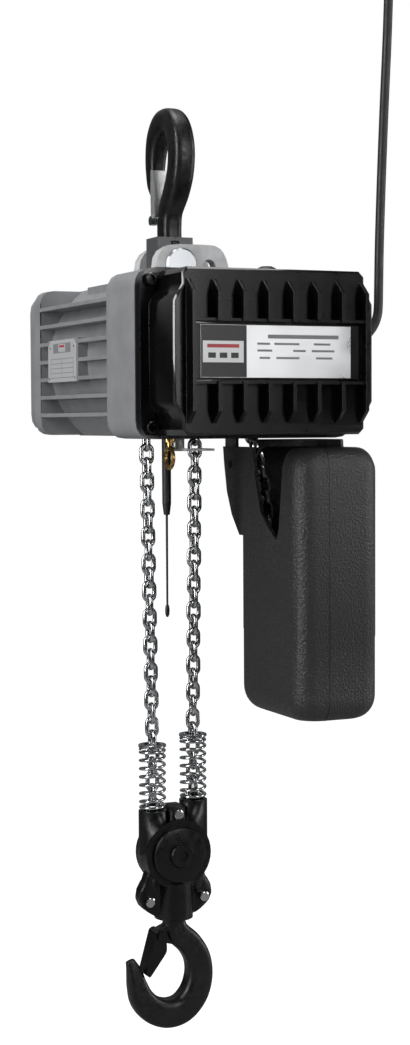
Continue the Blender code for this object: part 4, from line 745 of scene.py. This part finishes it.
def hooks():
    """The two forged hooks: a curved bar, a collar and a latch lug each. The top one has a raised ring."""
    y, z = TOP_PIVOT
    lug = [
        (0.000, z - 0.012), (0.012, z - 0.0105), (y + 0.0015, z - 0.0062), (y + 0.0042, z - 0.002),
        (y + 0.0042, z + 0.002), (y + 0.0015, z + 0.0062), (0.010, z + 0.013), (0.000, z + 0.018),
    ]
    collar = [
        (0.0, -0.1215), (0.0160, -0.1215), (0.0165, -0.1210), (0.0165, -0.1180), (0.0160, -0.1175),
        (0.0, -0.1175),
    ]
    t = np.linspace(0, 2 * np.pi, 28, endpoint=False)
    mark = np.stack([0 * t - 0.0121, -0.0335 + 0.0046 * np.cos(t), -0.022 + 0.0046 * np.sin(t)], -1)
    rim = carried(mark, X, 0.0009, 8, closed=True)
    made = forging(
        "top_hook_forging",
        [
            hook_bar(TOP_ROUTE, Y, 0.86),
            prism(lug, Y, Z, -LUG_HALF, LUG_HALF),
            turned(collar, (0, 0, 0), Z, 40),
            (rim.reshape(-1, 3), skin(28, 8, wrap_rows=True)),
        ],
        "top_hook",
    )
    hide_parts("top_hook")
    x, z = LOW_PIVOT
    lug = [
        (0.004, z - 0.014), (0.004, z + 0.014), (-0.008, z + 0.012), (x - 0.003, z + 0.0062),
        (x - 0.0058, z + 0.002), (x - 0.0058, z - 0.002), (x - 0.003, z - 0.0062), (-0.008, z - 0.011),
    ]
    collar = [
        (0.0, -0.8515), (0.0175, -0.8515), (0.018, -0.8510), (0.018, -0.8460), (0.0175, -0.8455),
        (0.0, -0.8455),
    ]
    made = forging(
        "bottom_hook_forging",
        [
            hook_bar(LOW_ROUTE, X, 0.84),
            prism(lug, X, Z, -LUG_HALF, LUG_HALF),
            turned(collar, (0, 0, 0), Z, 40),
        ],
        "bottom_hook",
    )
    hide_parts("bottom_hook")


def latch_springs():
    """A torsion spring each side of each latch lug: a short coil round the pin."""
    wire, radius, turns = 0.0007, 0.0040, 2.6
    for name, pivot, across, body in (
        ("top", TOP_PIVOT, Y, "top_hook"),
        ("bottom", LOW_PIVOT, X, "bottom_hook"),
    ):
        level = np.cross(across, Z)
        for side, tag in ((-1, "a"), (1, "b")):
            t = np.linspace(0, turns, 90)
            ring = radius * (np.cos(2 * np.pi * t)[:, None] * across + np.sin(2 * np.pi * t)[:, None] * Z)
            shift = side * (LUG_HALF + 0.0010 + (0.0024 - 2 * wire) * t / turns)
            path = ring + shift[:, None] * level + pivot[0] * across + pivot[1] * Z
            made = tube(f"{name}_latch_spring_{tag}", path, level, wire, 8, "bright", body)


# ---------------------------------------------------------------- chain container

BIN_LOW = (0.087, -0.139, -0.634)
BIN_HIGH = (0.187, 0.016, -0.341)
BIN_WALL = 0.003
BIN_CORNER = 0.022
BIN_ARC = 14
STEP_DEPTH = 0.0003
EAR_THICK = 0.004
SEAM_X = 0.1235
COLLAR_FRONT_Y = -0.057
COLLAR_TOP_Z = -0.3328


def bin_ring(shrink, height):
    """A rounded rectangle pulled in by shrink all round: four quarter circles joined by straight sides."""
    (x0, y0), (x1, y1), pull = BIN_LOW[:2], BIN_HIGH[:2], shrink + BIN_CORNER
    x = np.array([x1 - pull, x0 + pull, x0 + pull, x1 - pull])[:, None]
    y = np.array([y1 - pull, y1 - pull, y0 + pull, y0 + pull])[:, None]
    angle = np.arange(4)[:, None] * np.pi / 2 + np.linspace(0, np.pi / 2, BIN_ARC)
    ring = [x + BIN_CORNER * np.cos(angle), y + BIN_CORNER * np.sin(angle), 0 * angle + height]
    return np.stack(ring, -1).reshape(-1, 3)


def bin_loft(inset, levels):
    """Rings at (height, shrink) levels, all pulled in by inset as well, as one closed shape."""
    rings = np.stack([bin_ring(inset + shrink, height) for height, shrink in levels])
    return rings.reshape(-1, 3), skin(len(rings), rings.shape[1])


def rounded_levels(low, high, edge_low, edge_high):
    """(height, shrink) pairs along a quarter ellipse at the bottom and one at the top. Each edge is the
    ellipse's (width, height)."""
    t = np.linspace(0, np.pi / 2, 9)
    (a, b), (c, d) = edge_low, edge_high
    bottom = np.stack([low + b * (1 - np.sin(t)), a * (1 - np.cos(t))], -1)[::-1]
    top = np.stack([high - d * (1 - np.sin(t)), c * (1 - np.cos(t))], -1)
    return bottom, top


def moulded(name, shape):
    """A piece of the container, or a tool that shapes it."""
    return solid(name, shape, "pebble", "hoist_body")


def collar():
    """The raised rim: a thin wall along the back, round the corner and part way along the right side."""
    x, y, thick = BIN_HIGH[0] - 0.0002, BIN_HIGH[1] - 0.0002, BIN_WALL + 0.0002
    t = np.linspace(0, np.pi / 2, BIN_ARC)
    middle = np.array([x - BIN_CORNER, y - BIN_CORNER])
    spokes = np.stack([np.cos(t), np.sin(t)], -1)
    end = BIN_LOW[0] + BIN_CORNER
    rings = []
    for level, ease in ((BIN_HIGH[2] - 0.040, 0), (COLLAR_TOP_Z - 0.0008, 0), (COLLAR_TOP_Z, 0.0007)):
        outer, inner = middle + (BIN_CORNER - ease) * spokes, middle + (BIN_CORNER - thick + ease) * spokes
        start = COLLAR_FRONT_Y + 0.006 * (level - BIN_HIGH[2] + 0.040) / 0.048
        plan = [
            (x - ease, start), *outer, (end, y - ease), (end, y - thick + ease), *inner[::-1],
            (x - thick + ease, start),
        ]
        rings.append([(a, b, level) for a, b in plan])
    grid = np.array(rings)
    return grid.reshape(-1, 3), skin(len(grid), grid.shape[1])


def chain_container():
    """A moulded bin with an open top: rounded shell, notch and ear on its left wall, a raised rim behind."""
    low, high = BIN_LOW[2], BIN_HIGH[2]
    bottom, top = rounded_levels(low, high, (0.016, 0.026), (0.015, 0.026))
    step = [(-0.5452, 0.0), (-0.5446, -STEP_DEPTH)]
    upper = [(z, s - STEP_DEPTH if s < STEP_DEPTH else s) for z, s in top]
    levels = sorted([(z, s) for z, s in bottom] + step + upper)
    shell = moulded("container_shell", bin_loft(0.0, levels))
    bottom, top = rounded_levels(low + BIN_WALL, high, (0.013, 0.024), (0.015, 0.026))
    inner = sorted([(z, s) for z, s in bottom] + [(z, s) for z, s in top] + [(high + 0.01, 0.015)])
    cut(shell, moulded("container_hollow", bin_loft(BIN_WALL, inner)), "DIFFERENCE")
    notch = [
        (-0.024, high + 0.02), (-0.024, high - 0.002), (-0.034, -0.378), (-0.046, -0.412), (-0.066, -0.429),
        (-0.085, -0.441), (-0.091, -0.428), (-0.095, -0.400), (-0.100, -0.360), (-0.101, high + 0.02),
    ]
    notch = prism(notch, Y, Z, BIN_LOW[0] - 0.012, BIN_LOW[0] + 0.019)
    cut(shell, moulded("container_notch", notch), "DIFFERENCE")
    ear = [
        (-0.024, high), (0.053, high), (0.050, high - 0.020), (0.043, -0.392), (0.030, -0.418),
        (0.010, -0.440), (-0.030, -0.440), (-0.046, -0.4122), (-0.034, -0.378),
    ]
    side = BIN_LOW[0] + 0.0002
    cut(shell, moulded("container_ear", prism(ear, Y, Z, side, side + EAR_THICK)), "UNION")
    cut(shell, moulded("container_collar", collar()), "UNION")
    hole = np.linspace(0, 2 * np.pi, 24, endpoint=False)
    hole = np.stack([0.034 + 0.0045 * np.cos(hole), high - 0.020 + 0.0045 * np.sin(hole)], -1)
    cut(shell, moulded("container_bolt_hole", prism(hole, Y, Z, side - 0.01, side + 0.02)), "DIFFERENCE")
    shell.data.shade_smooth()
    shell.data.set_sharp_from_angle(angle=math.radians(34))
    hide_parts("chain_container")
    # Raised parting-line ridges down the front and back, in the black print material: the ridge is real, its
    # dark colour is painted shade.
    seam_z = np.array([z for z, _ in levels])
    seam_y = BIN_LOW[1] + np.array([s for _, s in levels])
    for name, flip in (("front", 1), ("back", -1)):
        y = seam_y if flip > 0 else BIN_HIGH[1] + BIN_LOW[1] - seam_y
        keep = slice(1, -1) if flip > 0 else slice(1, -9)
        path = np.stack([0 * seam_z + SEAM_X, y - flip * 0.00005, seam_z], -1)[keep]
        made = tube(f"container_{name}_seam", path, X, 0.0005, 8, "ink", "hoist_body")


def cut(target, tool, operation):
    """Cuts the tool from the target, or joins it on, and removes it."""
    step = target.modifiers.new("cut", "BOOLEAN")
    step.operation, step.object, step.solver = operation, tool, "EXACT"
    applied(target)
    bpy.data.objects.remove(tool)


# ---------------------------------------------------------------- name plates


def name_plate():
    """The plate in the cover's window: black third with a plain badge, brushed part with plain bars."""
    low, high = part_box("name_plate")
    front = low[1]
    base = slab(
        "name_plate_sheet", (low[0], front + 0.00025, low[2]), (high[0], high[1], high[2]), "label",
        "hoist_body", 0.0002,
    )
    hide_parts("name_plate")
    split = low[0] + 0.30 * (high[0] - low[0])
    middle = (low[2] + high[2]) / 2

    def mark(name, x0, x1, z0, z1, look, depth=0.0):
        made = slab(name, (x0, front + depth, z0), (x1, front + 0.00035, z1), look, "hoist_body", 0.00006)

    mark("name_plate_dark_end", low[0] + 0.0004, split, low[2] + 0.0004, high[2] - 0.0004, "ink", 0.00018)
    mark(
        "name_plate_badge", low[0] + 0.0025, split - 0.0035, middle - 0.0115, middle + 0.0105, "badge",
        0.00010,
    )
    mark(
        "name_plate_badge_bar", low[0] + 0.0075, split - 0.0085, middle + 0.0035, middle + 0.0072, "red",
        0.00004,
    )
    for i in range(3):
        x = low[0] + 0.0085 + i * 0.0128
        mark(
            f"name_plate_badge_block_{i + 1}", x, x + 0.0085, middle - 0.0070, middle - 0.0015, "ink",
            0.00004,
        )
    wide = high[0] - split
    mark(
        "name_plate_title", split + 0.20 * wide, split + 0.88 * wide, middle + 0.0135, middle + 0.0175,
        "pale_ink", 0.00012,
    )
    rows = [
        (0.0080, 0.10, 0.22, 0.26, 0.50, 0.64, 0.80), (0.0010, 0.10, 0.24, 0.44, 0.56, 0.62, 0.84),
        (-0.0065, 0.12, 0.22, 0.28, 0.50, 0.66, 0.82),
    ]
    for r, (z, *spans) in enumerate(rows):
        for k in range(0, len(spans), 2):
            x0, x1 = split + spans[k] * wide, split + spans[k + 1] * wide
            mark(
                f"name_plate_bar_{r + 1}_{k // 2 + 1}", x0, x1, middle + z - 0.0011, middle + z + 0.0011,
                "pale_ink", 0.00012,
            )


def rating_plate():
    """The motor's small plate: a cut-corner sheet with a grey band, table lines and four rivets."""
    low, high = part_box("rating_plate")
    cut_corner = 0.008
    y0, y1, z0, z1 = low[1], high[1], low[2], high[2]
    outline = [
        (y0, z0), (y1, z0), (y1, z1 - cut_corner), (y1 - cut_corner, z1), (y0 + cut_corner, z1),
        (y0, z1 - cut_corner),
    ]
    sheet = prism(outline, Y, Z, low[0] + 0.0002, high[0])
    base = solid("rating_plate_sheet", sheet, "badge", "hoist_body")
    bevelled(base, 0.00015)
    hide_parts("rating_plate")
    side = low[0]
    middle = (y0 + y1) / 2

    def mark(name, a0, a1, b0, b1, look, depth=0.00005):
        made = slab(name, (side + depth, a0, b0), (side + 0.0003, a1, b1), look, "hoist_body", 0.00005)

    mark("rating_plate_band", middle - 0.030, middle + 0.030, z1 - 0.0150, z1 - 0.0040, "pale_ink")
    mark("rating_plate_badge", middle - 0.012, middle + 0.012, z1 - 0.0140, z1 - 0.0050, "badge", 0.00003)
    mark("rating_plate_band_bar", middle - 0.009, middle + 0.009, z1 - 0.0085, z1 - 0.0062, "red", 0.00001)
    for i in range(5):
        z = z0 + 0.0050 + i * 0.0055
        mark(
            f"rating_plate_line_{i + 1}", y0 + 0.010, y1 - 0.010, z - 0.00035, z + 0.00035, "pale_ink",
            0.0001,
        )
    for i, y in enumerate((y0 + 0.010, middle, y1 - 0.010)):
        mark(
            f"rating_plate_upright_{i + 1}", y - 0.00035, y + 0.00035, z0 + 0.0050, z0 + 0.0270, "pale_ink",
            0.0001,
        )
    corners = [
        (y0 + 0.005, z0 + 0.0045), (y1 - 0.005, z0 + 0.0045), (y0 + 0.0075, z1 - 0.0085),
        (y1 - 0.0075, z1 - 0.0085),
    ]
    for i, (y, z) in enumerate(corners):
        dome = [(0.0, -0.0008), (0.0009, -0.0007), (0.0016, -0.0003), (0.0018, 0.0003), (0.0, 0.0003)]
        made = lathe(
            f"rating_plate_rivet_{i + 1}", dome, (side + 0.0004, y, z), X, "steel", "hoist_body", 20,
        )


# ---------------------------------------------------------------- carried-over parts

CASTINGS = {
    "grey": ["center_housing", "motor_housing", "end_cap", "gearbox_plate"],
    "lug": ["suspension_bracket"],
    "gloss": ["front_cover", "cover_screw_1", "cover_screw_2", "cover_screw_3", "cover_screw_4"],
    "satin": [
        "block_shell_front", "block_shell_back", "block_cap_front", "block_cap_back", "bottom_latch",
        "bottom_latch_pin", "container_bolt",
    ],
    "dark": [
        "container_hanger", "chain_guide", "suspension_block_left", "suspension_block_right",
        "ceiling_fitting",
    ],
    "sheet": ["limit_plate", "top_latch"],
    "yellow": ["eye_bolt"],
    "bright": ["block_bolt_1", "block_bolt_2", "block_bolt_3", "chain_anchor_pin"],
    "steel": [
        "suspension_pin", "top_latch_pin", "rotor_shaft", "brake_disc", "load_wheel", "output_gear",
        "wheel_bearing", "idler_sheave", "sheave_axle",
    ],
    "copper": ["stator"],
    "rubber": ["antenna_sleeve", "antenna_rod", "cable_gland", "top_plug", "cover_gasket"],
    "board": ["controller_board"],
}
PLAIN_NODES = {
    "rotor_shaft", "brake_disc", "load_wheel", "output_gear", "wheel_bearing", "stator", "controller_board",
    "ceiling_fitting",
}
EASED = {
    "front_cover": 0.0007, "center_housing": 0.0008, "motor_housing": 0.0006,
    "suspension_bracket": 0.0012, "suspension_block_left": 0.0010, "suspension_block_right": 0.0010,
}


def refined(name, look, edge):
    """A copy of a CAD part with merged points, whole flat faces, smooth round faces and eased edges."""
    source = frame["nodes"][name]
    work = bmesh.new()
    work.from_mesh(source.data)
    bmesh.ops.remove_doubles(work, verts=work.verts, dist=0.000004)
    bmesh.ops.dissolve_limit(work, angle_limit=math.radians(0.6), verts=work.verts, edges=work.edges)
    mesh = bpy.data.meshes.new(name + "_finished")
    work.to_mesh(mesh)
    work.free()
    made = bpy.data.objects.new(name + "_finished", mesh)
    bpy.context.scene.collection.objects.link(made)
    mesh.materials.clear()
    mesh.materials.append(FINISHES[look])
    mesh.shade_smooth()
    mesh.set_sharp_from_angle(angle=math.radians(32))
    if edge:
        bevel = bevelled(made, edge, 40)
        bevel.use_clamp_overlap = True
        bevel.harden_normals = True
    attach(made, source["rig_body"])
    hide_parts(name)
    return made


def castings():
    """Every part carried over from the CAD gets its finish: inner parts as they are, outer ones refined."""
    for look, names in CASTINGS.items():
        for name in names:
            if name in PLAIN_NODES:
                slots = frame["nodes"][name].data.materials
                slots.clear()
                slots.append(FINISHES[look])
            else:
                refined(name, look, EASED.get(name, 0.0))


# ---------------------------------------------------------------- making


camera()
stage()
power_cable()
falls()
slack_links()
stored_links()
springs()
hooks()
latch_springs()
chain_container()
name_plate()
rating_plate()
castings()
